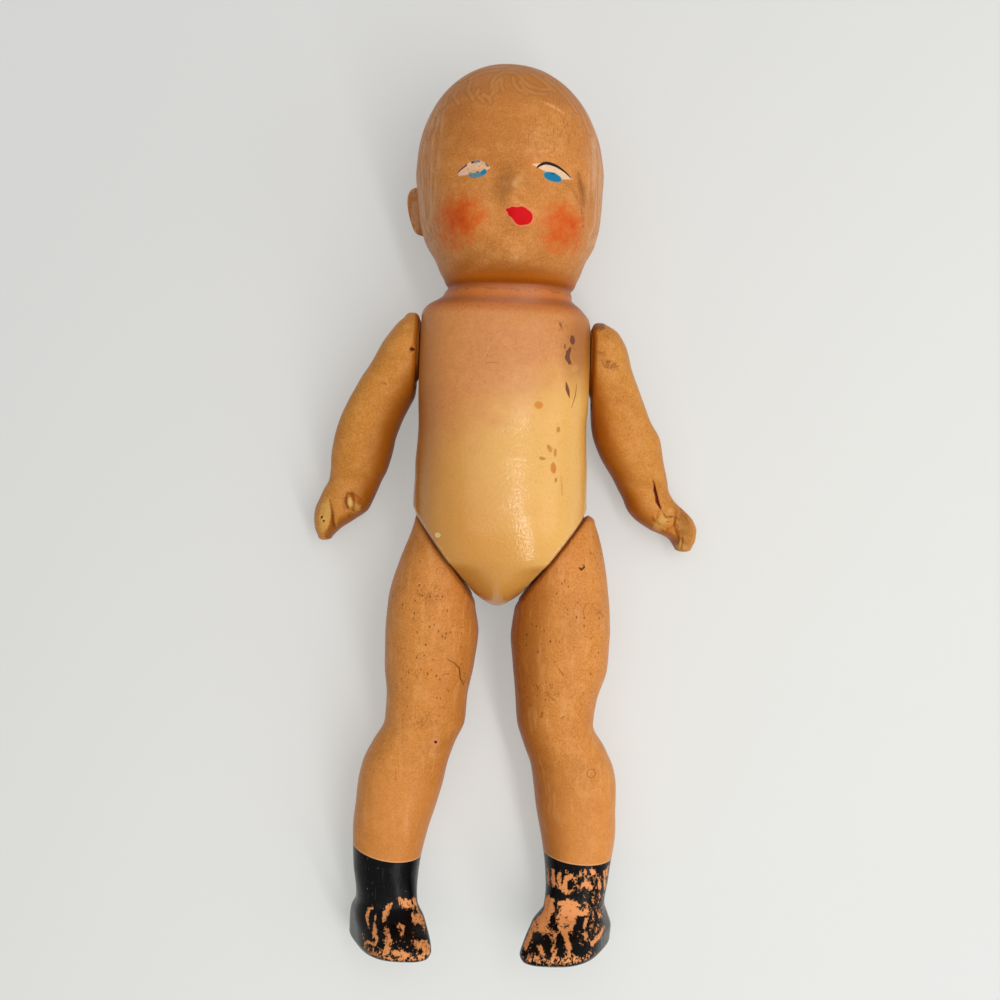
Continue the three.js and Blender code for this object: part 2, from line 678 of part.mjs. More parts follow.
// Elastic loop through the two eyes of a pair of limbs: straight in its clamp, then bowed to each
// eye so that it meets it along the joint's axis. Its two ends meet inside the clamp.
function elasticLoop(frame, reach) {
  const straight = clampLength / 2 + fitGap;
  const { position, angle } = frame(1);
  const outwards = new THREE.Vector3(Math.cos(angle), Math.sin(angle), 0);
  const hook = position.clone().addScaledVector(outwards, -reach);
  const bendLevel = hook.y - ((hook.x - straight) * outwards.y) / outwards.x / 2;
  const strand = (height) => {
    const bend = new THREE.Vector3(lerp(straight, hook.x, 0.5), bendLevel, position.z + height);
    const end = new THREE.Vector3(hook.x, hook.y, position.z + height);
    return [new THREE.Vector3(straight, bendLevel, bend.z), bend, end];
  };
  const mirrored = (point) => new THREE.Vector3(-point.x, point.y, point.z);
  const upper = strand(hookRadius);
  const lower = strand(-hookRadius);
  const up = new THREE.Vector3(0, 0, 1);
  const start = new THREE.Vector3(fitGap / 2, bendLevel, position.z + hookRadius);
  return curveThrough([
    new THREE.LineCurve3(start, upper[0]),
    new THREE.QuadraticBezierCurve3(...upper),
    new HookBend(hook, outwards, up, hookRadius),
    new THREE.QuadraticBezierCurve3(...lower.slice().reverse()),
    new THREE.LineCurve3(lower[0], mirrored(lower[0])),
    new THREE.QuadraticBezierCurve3(...lower.map(mirrored)),
    new HookBend(mirrored(hook), mirrored(outwards), up.clone().negate(), hookRadius),
    new THREE.QuadraticBezierCurve3(...upper.slice().reverse().map(mirrored)),
    new THREE.LineCurve3(mirrored(upper[0]), mirrored(start)),
  ]);
}

// Crimped sleeve round the ends of an elastic
function clampSleeve() {
  const outer = clampBore + clampWall;
  const end = clampLength / 2;
  const profile = [
    new THREE.Vector2(clampBore, -end),
    new THREE.Vector2(outer, -end),
    new THREE.Vector2(outer, end),
    new THREE.Vector2(clampBore, end),
    new THREE.Vector2(clampBore, -end),
  ];
  return geometryOf(solidOf(new THREE.LatheGeometry(profile, 20).rotateZ(Math.PI / 2)));
}

// Finishes
const skinPaint = { color: 0xcf9560, roughness: 0.5, metalness: 0 };
const limbPaint = { color: 0xc98a50, roughness: 0.55, metalness: 0 };
const plugWood = { color: 0xb08a5a, roughness: 0.8, metalness: 0 };
const wireSteel = { color: 0x8c8c88, roughness: 0.4, metalness: 1 };
const elasticCotton = { color: 0xe6dcc6, roughness: 0.9, metalness: 0 };

function piece(name, geometry, finish) {
  const mesh = new THREE.Mesh(geometry, new THREE.MeshStandardMaterial(finish));
  mesh.name = name;
  return mesh;
}

// A limb in the frame of its joint, with its plug and wire eye turned to the joint's axis
function limb(name, { position, angle }, shells, fastening) {
  const group = new THREE.Group();
  group.position.copy(position);
  group.add(piece(`${name}_outer`, geometryOf(shells.outer), limbPaint));
  group.add(piece(`${name}_inner`, geometryOf(shells.inner), limbPaint));
  const hardware = new THREE.Group();
  hardware.rotation.z = angle;
  hardware.add(piece(`${name}_plug`, geometryOf(plug(fastening.radius, fastening.length)), plugWood));
  hardware.add(piece(`${name}_wire_eye`, wireEye(fastening.reach), wireSteel));
  group.add(hardware);
  return group;
}

function stringing(name, frame, reach, steps) {
  const path = elasticLoop(frame, reach);
  const section = roundSection(cordRadius, 8);
  const group = new THREE.Group();
  group.add(piece(name, new THREE.ExtrudeGeometry(section, { steps, extrudePath: path }), elasticCotton));
  const sleeve = piece(`${name}_clamp`, clampSleeve(), wireSteel);
  const start = path.getPoint(0);
  sleeve.position.set(0, start.y, start.z);
  group.add(sleeve);
  return group;
}

const doll = new THREE.Group();
const shells = trunkShells();
doll.add(piece('head_torso_front', geometryOf(shells.front), skinPaint));
doll.add(piece('head_torso_back', geometryOf(shells.back), skinPaint));
const armFastening = { radius: armPlugRadius, length: armPlugLength, reach: armEyeReach };
const legFastening = { radius: legPlugRadius, length: legPlugLength, reach: legEyeReach };
doll.add(limb('left_arm', shoulderFrame(1), armShells(1), armFastening));
doll.add(limb('right_arm', shoulderFrame(-1), armShells(-1), armFastening));
doll.add(limb('left_leg', hipFrame(1), legShells(1), legFastening));
doll.add(limb('right_leg', hipFrame(-1), legShells(-1), legFastening));
doll.add(stringing('arm_elastic', shoulderFrame, armEyeReach, 36));
doll.add(stringing('leg_elastic', hipFrame, legEyeReach, 30));
doll.position.x = trunkAcross;

export default doll;
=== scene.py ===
import math

import bpy
import numpy as np
from mathutils import Matrix, Vector


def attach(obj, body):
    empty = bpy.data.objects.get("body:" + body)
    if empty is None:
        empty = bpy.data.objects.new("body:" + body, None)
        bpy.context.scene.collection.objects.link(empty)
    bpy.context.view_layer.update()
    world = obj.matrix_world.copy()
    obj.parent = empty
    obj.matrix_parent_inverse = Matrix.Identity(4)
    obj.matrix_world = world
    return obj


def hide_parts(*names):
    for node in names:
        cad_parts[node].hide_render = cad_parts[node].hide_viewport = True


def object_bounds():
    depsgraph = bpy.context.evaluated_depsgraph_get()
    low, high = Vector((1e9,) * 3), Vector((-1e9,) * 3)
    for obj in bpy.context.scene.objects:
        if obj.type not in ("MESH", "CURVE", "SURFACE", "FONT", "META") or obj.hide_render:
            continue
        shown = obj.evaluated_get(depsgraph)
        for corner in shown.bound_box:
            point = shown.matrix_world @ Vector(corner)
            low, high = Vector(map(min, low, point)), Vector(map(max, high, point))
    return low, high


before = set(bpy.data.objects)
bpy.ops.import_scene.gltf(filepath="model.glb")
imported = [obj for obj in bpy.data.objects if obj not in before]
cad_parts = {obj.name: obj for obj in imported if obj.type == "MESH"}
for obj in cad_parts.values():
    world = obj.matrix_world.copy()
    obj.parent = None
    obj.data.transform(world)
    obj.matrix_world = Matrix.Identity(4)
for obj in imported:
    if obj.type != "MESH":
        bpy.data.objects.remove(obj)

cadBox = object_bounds()
mm = 0.001
trunkAcross = -1.8  # the middle of the trunk, beside the middle between the two hands
print("frame loaded:", len(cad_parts), "nodes")


# small sums used by every form
def bump(offset, spread):
    return np.exp(-((offset / spread) ** 2))


def mix(a, b, share):
    return a + (b - a) * share


def step(value, low, high):
    share = np.clip((value - low) / (high - low), 0, 1)
    return share * share * (3 - 2 * share)


def signedPower(value, exponent):
    return np.sign(value) * np.abs(value) ** exponent


def curveThrough(levels, values):
    levels, values = np.array(levels, float), np.array(values, float)
    secants = np.diff(values) / np.diff(levels)
    before, after = secants[:-1], secants[1:]
    together = before * after > 0
    inner = np.where(together, 2 * before * after / np.where(together, before + after, 1), 0)
    slopes = np.concatenate([secants[:1], inner, secants[-1:]])

    def at(level):
        inside = np.clip(level, levels[0], levels[-1])
        i = np.clip(np.searchsorted(levels, inside) - 1, 0, len(levels) - 2)
        span = levels[i + 1] - levels[i]
        t = (inside - levels[i]) / span
        start = (1 + 2 * t) * (1 - t) ** 2 * values[i] + t * (1 - t) ** 2 * span * slopes[i]
        return start + t * t * (3 - 2 * t) * values[i + 1] - t * t * (1 - t) * span * slopes[i + 1]

    return at


# a curve for each column of a table whose first column is the level
def columnCurves(rows):
    levels, *columns = zip(*rows)
    return [curveThrough(levels, column) for column in columns]


def steps(start, end, longest):
    return np.linspace(start, end, max(2, math.ceil(abs(end - start) / longest) + 1))[:-1]


# uneven hand finish: a few crossing waves of about one length, between -1 and 1
def unevenness(points, length, seed):
    random = np.random.default_rng(seed)
    total = np.zeros(points.shape[:-1])
    for wave in range(7):
        way = random.normal(size=3)
        way *= random.uniform(0.7, 1.4) / np.linalg.norm(way)
        total += np.sin(points @ way * (2 * np.pi / length) + random.uniform(0, 6.28))
    return total / 4


# outward normals of a grid whose columns run round
def gridNormals(grid):
    along = np.gradient(grid, axis=0)
    around = np.roll(grid, -1, axis=1) - np.roll(grid, 1, axis=1)
    normal = np.cross(around, along)
    normal /= np.maximum(np.linalg.norm(normal, axis=2, keepdims=True), 1e-9)
    middle = grid.mean(axis=1, keepdims=True)
    inward = ((grid - middle) * normal).sum(axis=2).mean() < 0
    return -normal if inward else normal


# points and faces of a closed skin over rings, with a point at each end
def loft(rings, firstPoint=None, lastPoint=None):
    rowCount, columnCount = rings.shape[:2]
    firstPoint = rings[0].mean(axis=0) if firstPoint is None else firstPoint
    lastPoint = rings[-1].mean(axis=0) if lastPoint is None else lastPoint
    points = np.concatenate([rings.reshape(-1, 3), [firstPoint, lastPoint]])
    row, column = np.meshgrid(np.arange(rowCount - 1), np.arange(columnCount), indexing="ij")
    here = (row * columnCount + column).ravel()
    beside = (row * columnCount + (column + 1) % columnCount).ravel()
    quads = np.stack([here, beside, beside + columnCount, here + columnCount], axis=1)
    ring = np.arange(columnCount)
    onward = (ring + 1) % columnCount
    base = (rowCount - 1) * columnCount
    tip = rowCount * columnCount
    firstFan = np.stack([onward, ring, np.full(columnCount, tip)], axis=1)
    lastFan = np.stack([base + ring, base + onward, np.full(columnCount, tip + 1)], axis=1)
    a, b, c = points[quads[:, 0]], points[quads[:, 1]], points[quads[:, 2]]
    faces = quads.tolist() + firstFan.tolist() + lastFan.tolist()
    if (a * np.cross(b, c)).sum() < 0:
        faces = [face[::-1] for face in faces]
    return points, faces


def meshObject(name, points, faces):
    mesh = bpy.data.meshes.new(name)
    mesh.from_pydata((points * mm).tolist(), [], faces)
    made = bpy.data.objects.new(name, mesh)
    bpy.context.scene.collection.objects.link(made)
    return made


# values kept on the corners, faces or edges of a mesh
def valuesOf(items, name, width=3, kind=float):
    values = np.empty(len(items) * width, kind)
    items.foreach_get(name, values)
    return values.reshape(-1, width) if width > 1 else values


def cornersOf(made):
    return valuesOf(made.data.vertices, "co") / mm


# closed cutters and the cut itself
def blockBeyond(place, way, size=200):
    turn = Vector(way).to_track_quat("X", "Z").to_matrix().to_4x4()
    lift = Matrix.Translation(Vector(place)) @ turn @ Matrix.Translation((size / 2, 0, 0))
    corners = [(x, y, z) for x in (-1, 1) for y in (-1, 1) for z in (-1, 1)]
    points = np.array([lift @ (Vector(corner) * size / 2) for corner in corners])
    faces = [[0, 1, 3, 2], [4, 6, 7, 5], [0, 4, 5, 1], [2, 3, 7, 6], [0, 2, 6, 4], [1, 5, 7, 3]]
    return points, faces


def rodAlong(place, way, start, end, radius, sides=40):
    way = Vector(way).normalized()
    across = way.orthogonal().normalized()
    other = way.cross(across)
    turns = np.linspace(0, 2 * np.pi, sides, endpoint=False)
    ring = np.array([radius * (math.cos(turn) * across + math.sin(turn) * other) for turn in turns])
    ends = [np.array(place) + reach * np.array(way) for reach in (start, end)]
    return loft(np.stack([ring + ends[0], ring + ends[1]]))


def combine(made, tools, operation="DIFFERENCE"):
    helpers = [meshObject(f"tool_{place}", *tool) for place, tool in enumerate(tools)]
    for helper in helpers:
        change = made.modifiers.new("change", "BOOLEAN")
        change.operation = operation
        change.solver = "MANIFOLD"
        change.object = helper
    changed = bpy.data.meshes.new_from_object(made.evaluated_get(bpy.context.evaluated_depsgraph_get()))
    made.modifiers.clear()
    old = made.data
    made.data = changed
    bpy.data.meshes.remove(old)
    for helper in helpers:
        mesh = helper.data
        bpy.data.objects.remove(helper)
        bpy.data.meshes.remove(mesh)
    return made


# signed distance of points from an oval and from a line of given half widths, seen from the front
def ovalAway(x, y, across, along, halfAcross, halfAlong, degrees=0):
    turn = math.radians(degrees)
    u = ((x - across) * math.cos(turn) + (y - along) * math.sin(turn)) / halfAcross
    v = ((y - along) * math.cos(turn) - (x - across) * math.sin(turn)) / halfAlong
    return (np.hypot(u, v) - 1) * min(halfAcross, halfAlong)


def lineAway(x, y, points):
    nearest = np.full(np.broadcast(x, y).shape, 1e3)
    for (ax, ay, aw), (bx, by, bw) in zip(points, points[1:]):
        dx, dy = bx - ax, by - ay
        share = np.clip(((x - ax) * dx + (y - ay) * dy) / (dx * dx + dy * dy), 0, 1)
        away = np.hypot(x - ax - share * dx, y - ay - share * dy) - mix(aw, bw, share)
        nearest = np.minimum(nearest, away)
    return nearest


# marks are drawn in millimetres on the front: a spot is an oval, a line has a half width at each point
def line(points, **rest):
    return {"away": lineAway, "place": [points], **rest}


def spot(*place, **rest):
    return {"away": ovalAway, "place": place, **rest}


# soft tones kept on the corners of a mesh, strongest where marks lie
def keepTone(made, name, values):
    tone = made.data.attributes.new(name, "FLOAT", "POINT")
    tone.data.foreach_set("value", np.clip(values, 0, 1).astype(np.float32))


def keepMarks(made, tones):
    corners = cornersOf(made)
    front = step(valuesOf(made.data.vertices, "normal")[:, 2], 0, 0.3)
    for name, marks in tones.items():
        values = np.zeros(len(corners))
        for mark in marks:
            away = mark["away"](corners[:, 0], corners[:, 1], *mark["place"])
            inside = 1 - step(away, -mark["soft"], mark["soft"])
            values = np.maximum(values, mark.get("share", 1) * inside)
        keepTone(made, name, values * front)


# nothing stands outside the box of the whole doll
def keepInside(grid):
    low, high = [np.array(corner) / mm for corner in cadBox]
    low[0], high[0] = low[0] - trunkAcross, high[0] - trunkAcross
    return np.clip(grid, low, high)


def settle(made, body, node, sharpest=48):
    made.location.x = trunkAcross * mm
    made.data.shade_smooth()
    made.data.set_sharp_from_angle(angle=math.radians(sharpest))
    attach(made, body)
    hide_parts(node)


# one half of a moulding: an outer skin and, behind it, a hollow or a flat back
def halfRings(outer, hollow, isHollow):
    backCount = hollow.shape[1]
    share = (np.arange(backCount) + 1) / (backCount + 1)
    flat = mix(outer[:, -1:], outer[:, :1], share[None, :, None])
    return np.concatenate([outer, np.where(isHollow[:, None, None], hollow, flat)], axis=1)


# joints, shared by the torso and the limbs
joints = {
    "shoulderFace": 24.4, "shoulderLine": 46.5, "shoulderHeight": 22,
    "hipAcross": 15.1, "hipLine": -12.5, "hipHeight": 22, "hipSlant": math.radians(36.6), "gap": 0.4,
    # round cuts: where each starts and ends, its radius, and for the flat its number of sides
    "shoulderFlat": (0, 12, 22, 72), "shoulderHole": (-16, 4, 5), "hipHole": (-14, 4, 5),
}
hipWay = (math.cos(joints["hipSlant"]), -math.sin(joints["hipSlant"]))


# distance of points inside the torso's slanted leg face on one side
def insideHip(points, side):
    across = side * points[..., 0] - joints["hipAcross"]
    along = points[..., 1] - joints["hipLine"]
    return -(across * hipWay[0] + along * hipWay[1])


# fall of a rounded edge, a given distance in from the edge
def edgeFall(distance, radius):
    share = np.clip(1 - distance / radius, 0, 1)
    return radius * (1 - np.sqrt(1 - share * share))


# head and torso
trunk = {
    "crown": 128.5, "headWidest": 95.4, "neck": 62.4, "belly": 0, "crotch": -26.8, "seam": 24, "wall": 3,
    "headHalf": 27, "headDepth": 55, "headTurn": math.radians(3.5), "headRoll": math.tan(math.radians(2)),
    "torsoHalf": 25.2, "bellyDepth": 50, "neckHalf": 18.4, "neckBack": 11.2, "neckFront": 42,
    "crownHeight": 27, "crotchHeight": 21, "crotchHalf": 8, "crotchRound": 3.4, "hipRound": 0.7,
    "hollowHalf": 21.4, "domePower": 2.1, "sectionPower": 2 / 2.35, "creaseSpacing": 4.4, "creaseDepth": 0.85,
    "frontColumns": 220, "backColumns": 110, "hollowColumns": 24,
    "rightSlope": (0.06, 60, 3.2),  # the right shoulder runs out from the neck sooner: share, level, spread
    # level, half width, back and front, as shares of the lengths above
    "torsoRows": [
        [0, 1, 0.044, 1], [0.24, 0.985, 0.112, 0.956], [0.4, 0.965, 0.132, 0.92], [0.64, 1, 0.12, 0.892],
        [0.8, 0.993, 0.14, 0.868], [0.9, 0.96, 0.166, 0.846], [0.95, 0.875, 0.19, 0.832],
    ],
    "headRows": [
        [0.13, 0.705, 0.18, 0.82], [0.22, 0.755, 0.145, 0.9], [0.31, 0.8, 0.113, 0.945],
        [0.48, 0.91, 0.058, 0.985], [0.65, 0.96, 0.022, 1], [1, 1, 0, 1],
    ],
    # place across, level, height, spread across, spread along, on both sides
    "faceForms": [
        [0, 87.5, 4, 4, 4.2, False], [0, 92.5, 1.3, 4, 5, False], [3, 85.9, 1, 2.2, 2.2, True],
        [10.6, 93.3, -2, 6.5, 4, True], [10.6, 92.4, 1.3, 4, 2.4, True], [9.6, 99.9, 0.7, 8, 3, True],
        [14, 80.4, 2.2, 8.5, 8, True], [0, 80.4, 1.5, 5.5, 4, False], [0, 75.6, -0.8, 5, 1.8, False],
        [0, 71.5, 2, 7, 3.6, False], [3, 122, 1, 7, 2.6, False],
    ],
}


def trunkCurves():
    rows = [[mix(trunk["belly"], trunk["neck"], along), half * trunk["torsoHalf"],
             back * trunk["bellyDepth"], front * trunk["bellyDepth"]]
            for along, half, back, front in trunk["torsoRows"]]
    rows.append([trunk["neck"], trunk["neckHalf"], trunk["neckBack"], trunk["neckFront"]])
    rows += [[mix(trunk["neck"], trunk["headWidest"], along), half * trunk["headHalf"],
              back * trunk["headDepth"], front * trunk["headDepth"]]
             for along, half, back, front in trunk["headRows"]]
    return columnCurves(rows)


trunkHalf, trunkBack, trunkFront = trunkCurves()


def trunkSection(level, inset):
    crown = (level - trunk["headWidest"]) / (trunk["crown"] - inset - trunk["headWidest"])
    crotch = (trunk["belly"] - level) / (trunk["belly"] - trunk["crotch"] - inset)
    reach = np.clip(np.maximum(crown, crotch), 0, 1)
    dome = (1 - reach ** trunk["domePower"]) ** (1 / trunk["domePower"])
    middle = np.where(level > trunk["neck"], trunk["crownHeight"], trunk["crotchHeight"])
    return {
        "half": (trunkHalf(level) - inset) * dome,
        "back": mix(middle, trunkBack(level) + inset, dome),
        "front": mix(middle, trunkFront(level) - inset, dome),
        "side": mix(middle, trunk["seam"], dome),
        "dome": dome,
    }


def faceRelief(across, level):
    total = np.zeros(np.broadcast(across, level).shape)
    for place, height, rise, spread, spreadAlong, both in trunk["faceForms"]:
        offset = (np.abs(across) if both else across) - place
        total = total + rise * bump(offset, spread) * bump(level - height, spreadAlong)
    return total


def buttockRelief(across, level):
    return 3.2 * bump(np.abs(across) - 9, 9) * bump(level - joints["hipLine"] - 3, 11)


# a sharp crease under the chin and a softer one below it
def neckCrease(level):
    offset = level - trunk["neck"]
    half = trunk["creaseSpacing"] / 2
    return trunk["creaseDepth"] * (bump(offset - half, 1.1) + 0.2 * bump(offset + half, 1.8))


# the crotch is a small dome: its rings rise sideways from the middle
def crotchRise(x, level):
    share = (1 - np.exp(-1.2 * (x / trunk["crotchHalf"]) ** 2)) / 0.7
    return trunk["crotchRound"] * share * step(-level, 12.5, 22.5)


def turnHead(x, level, z):
    angle = trunk["headTurn"] * step(level, trunk["neck"], trunk["neck"] + 2 * trunk["neckHalf"] / 3)
    up = z - trunk["headDepth"] / 2
    roll = trunk["headRoll"] * (trunk["headWidest"] - 2.5 - level) * step(level, 58, 66.8)
    turnedX = x * np.cos(angle) + up * np.sin(angle) + roll
    turnedZ = trunk["headDepth"] / 2 + up * np.cos(angle) - x * np.sin(angle)
    return np.stack(np.broadcast_arrays(turnedX, level, turnedZ), axis=-1)


def trunkLevels():
    dome = np.sin(np.linspace(0, 0.497 * np.pi, 90))
    return np.concatenate([
        mix(trunk["belly"], trunk["crotch"], dome[:0:-1]),
        steps(trunk["belly"], 50, 0.6), steps(50, 68, 0.35), steps(68, trunk["headWidest"], 0.45),
        mix(trunk["headWidest"], trunk["crown"], dome),
    ])[:, None]


# lash lines of the two eyes: peak, its level, and how the line falls before and after it
lashes = {1: (9.8, 96, 0.19, 0.07), -1: (-9, 95.8, 0.095, 0.17)}


def lashLevel(x, peak, top, before, after):
    offset = x - peak
    return top - before * np.minimum(offset, 0) ** 2 - after * np.maximum(offset, 0) ** 2


# eyelids, lips and combed hair, raised a little on the head
def fineFace(points):
    x, y, z = np.moveaxis(points, -1, 0)
    front = step(z, 30, 38)
    total = np.zeros(x.shape)
    for side, low, high in ((1, 6.8, 16.6), (-1, -14.6, -5.6)):
        window = step(x, low - 1, low + 1) * (1 - step(x, high - 1, high + 1))
        above = y - lashLevel(x, *lashes[side])
        total += 0.3 * window * step(above, -0.3, 0.3) * np.exp(-np.maximum(above, 0) / 1.6)
        total += 0.14 * window * bump(above + 4.6, 0.7)
    lip = np.hypot((x - 3.2) / 3.6, (y - 80.2) / 2.5)
    total += 0.35 * (1 - step(lip, 0.7, 1.15))
    total -= 0.25 * bump(x - 2.6, 1.3) * bump(y - 84.8, 1.2)
    locks = hair["lockHeight"] * backComb(x, y, z) * (1 - step(z, 19, 27)) * step(y, 80, 94)
    return total * front + hairRelief(x, y) * step(z, 22, 30) + locks


# moulded hair: a low edge at the hairline, combed waves and raised strands round a forelock
hair = {
    "hairline": [(-26, 96), (-20, 103), (-17.6, 109.6), (-13.4, 114.3), (-5, 115), (1, 114.8), (6.3, 113.6),
                 (13.9, 111.1), (18.4, 105.6), (25, 97)],
    "edge": 0.16, "strandHeight": 0.13, "strandWidth": 0.66, "combHeight": 0.035, "combPitch": 1.6,
    "combMiddle": 97,
    # locks that run from the crown down the back of the head
    "locks": 30, "lockHeight": 0.09, "lockMiddle": 20, "lockBend": 1.6, "lockWave": 0.16, "lockLean": 0.12,
    "strands": [
        [(-6.1, 116.6), (-6.1, 119.1), (-5, 121.2), (-2.5, 122.7), (0.2, 122.5), (2.4, 120.2)],
        [(-4.5, 116.2), (-4.8, 118.8), (-3.6, 120.6)], [(-2.8, 116), (-3.5, 117.9), (-3.4, 120)],
        [(-0.3, 120.7), (0.1, 118.6), (1.3, 116.9), (3.8, 115.4)],
        [(1.7, 119.2), (3.1, 117), (5.9, 115.9), (8.9, 116)],
        [(2.1, 120.2), (4.2, 118.3), (7.3, 117.4), (10, 117.9)],
        [(-8.3, 115), (-6.8, 114.1), (-6.1, 112.5)], [(-9.7, 116.7), (-10.1, 115.1), (-8.2, 112.8)],
        [(-12, 119.8), (-12.7, 116.9), (-11, 113.5)], [(-6, 114.9), (-5.3, 116.2), (-5.6, 117.9)],
        [(-0.8, 126.7), (3, 126.2), (6.8, 124.2), (10.1, 122.1)],
        [(-2.6, 125.2), (-7.3, 124.9), (-11, 124), (-15.1, 120.9)],
        [(-4.4, 123.6), (-8.6, 123), (-12.3, 121)], [(4.9, 122.4), (8.2, 120.3), (11.5, 117.6)],
        [(8.6, 121.7), (11.9, 119.3), (14.8, 116.5), (17.6, 112.4)],
        [(12.6, 121), (16, 117.4), (19.4, 112.4), (21.6, 107)],
        [(-20.5, 110.3), (-21, 106.7), (-22.3, 103.1), (-22.8, 101.7)],
        [(-21.9, 111.7), (-22.4, 107.8), (-23.4, 104.6)], [(-20.2, 112.5), (-19, 113.7), (-18.6, 115.5)],
        [(-19.1, 111.4), (-19.4, 108.2), (-19.7, 105.2)], [(-15.6, 118.2), (-16.4, 115.6), (-15, 112.6)],
    ],
}
hairline = curveThrough(*zip(*hair["hairline"]))


def strandCrest(x, y):
    strands = [[(*point, 0) for point in strand] for strand in hair["strands"]]
    return np.maximum.reduce([bump(lineAway(x, y, strand), hair["strandWidth"]) for strand in strands])


def backComb(x, y, z):
    turn = np.arctan2(x, z - hair["lockMiddle"]) * hair["locks"]
    return np.sin(turn + hair["lockBend"] * np.sin(hair["lockWave"] * y) + hair["lockLean"] * y)


def hairRelief(x, y):
    zone = step(y - hairline(x), -0.4, 0.6)
    ring = np.hypot(1.12 * x, y - hair["combMiddle"]) * (2 * np.pi / hair["combPitch"])
    comb = np.sin(ring + 1.4 * np.sin(0.3 * x + 0.2 * y))
    strands = hair["strandHeight"] * strandCrest(x, y) * (0.4 + 0.6 * zone)
    return zone * (hair["edge"] + hair["combHeight"] * comb) + strands


# a dished ear that leans out of the side of the head towards the face
ear = {
    "level": 88, "height": 16.8, "half": 7.4, "depth": 4.1, "lean": math.radians(26),
    "across": {1: 25.4, -1: -25.9}, "standOut": {1: 0.45, -1: 1},
    # share of the way out from the middle, and how far it stands out
    "profile": [(0, 0.2), (0.3, 0.25), (0.5, 0.7), (0.66, 1.7), (0.78, 2.2), (0.9, 1.5), (1, -1.8)],
}


def makeEar(side):
    share = np.linspace(0.04, 1, 26)[:, None]
    turn = np.linspace(0, 2 * np.pi, 56, endpoint=False)[None]
    rise = curveThrough(*zip(*ear["profile"]))(share) * ear["standOut"][side]
    rim = 1 + 0.3 * np.cos(turn) * step(share, 0.4, 0.8) * (share < 0.95)
    along = ear["half"] * share * np.cos(turn) - 1.2 * (1 - share)
    deep = ear["depth"] * share * np.sin(turn) * (1 + 0.36 * np.cos(turn)) + 0.5 * (1 - share)
    out = rise * rim
    lean = ear["lean"]
    x = ear["across"][side] + side * (out * math.cos(lean) - deep * math.sin(lean))
    z = ear["height"] + out * math.sin(lean) + deep * math.cos(lean)
    rings = turnHead(x, ear["level"] + along, z)
    return loft(rings)


def trunkGrid():
    level = trunkLevels()
    section = trunkSection(level, 0)
    crease = neckCrease(level)
    share = np.arange(trunk["frontColumns"]) / trunk["frontColumns"]
    front = (np.pi * (share + 0.4 * np.sin(2 * np.pi * share) / (2 * np.pi)))[None]
    back = (np.pi * np.arange(trunk["backColumns"]) / trunk["backColumns"])[None]
    power = trunk["sectionPower"]
    half = section["half"] - crease * section["dome"]
    frontX = half * signedPower(np.cos(front), power)
    rise = (section["front"] - crease - section["side"]) * signedPower(np.sin(front), power)
    frontZ = section["side"] + rise + faceRelief(frontX, level) * np.sin(front)
    backX = -half * signedPower(np.cos(back), power)
    drop = (section["side"] - section["back"] - crease) * signedPower(np.sin(back), power)
    backZ = section["side"] - drop - buttockRelief(backX, level) * np.sin(back)
    x = np.concatenate([frontX, backX], axis=1)
    z = np.concatenate([frontZ, backZ], axis=1)
    slope, height, spread = trunk["rightSlope"]
    x = np.where(x < 0, x * (1 + slope * bump(level - height, spread)), x)
    return turnHead(x, level + crotchRise(x, level), z), level


def trunkHollow(level, sign, count):
    wall = trunk["wall"]
    section = trunkSection(level, wall)
    turn = np.linspace(0, np.pi, count)[None]
    depth = section["front"] - section["side"] if sign > 0 else section["side"] - section["back"]
    x = -sign * section["half"] * np.cos(turn)
    limit = joints["hipAcross"] - (joints["hipLine"] - level) * hipWay[1] / hipWay[0] - wall / hipWay[0]
    limit = np.minimum(limit, trunk["hollowHalf"])
    x = np.clip(x, -limit, limit)
    z = section["side"] + sign * depth * np.sin(turn)
    isHollow = (level > trunk["crotch"] + wall + 1) & (level < trunk["crown"] - wall - 0.5) & (limit > 3)
    return turnHead(x, level + crotchRise(x, level), z), isHollow[:, 0]


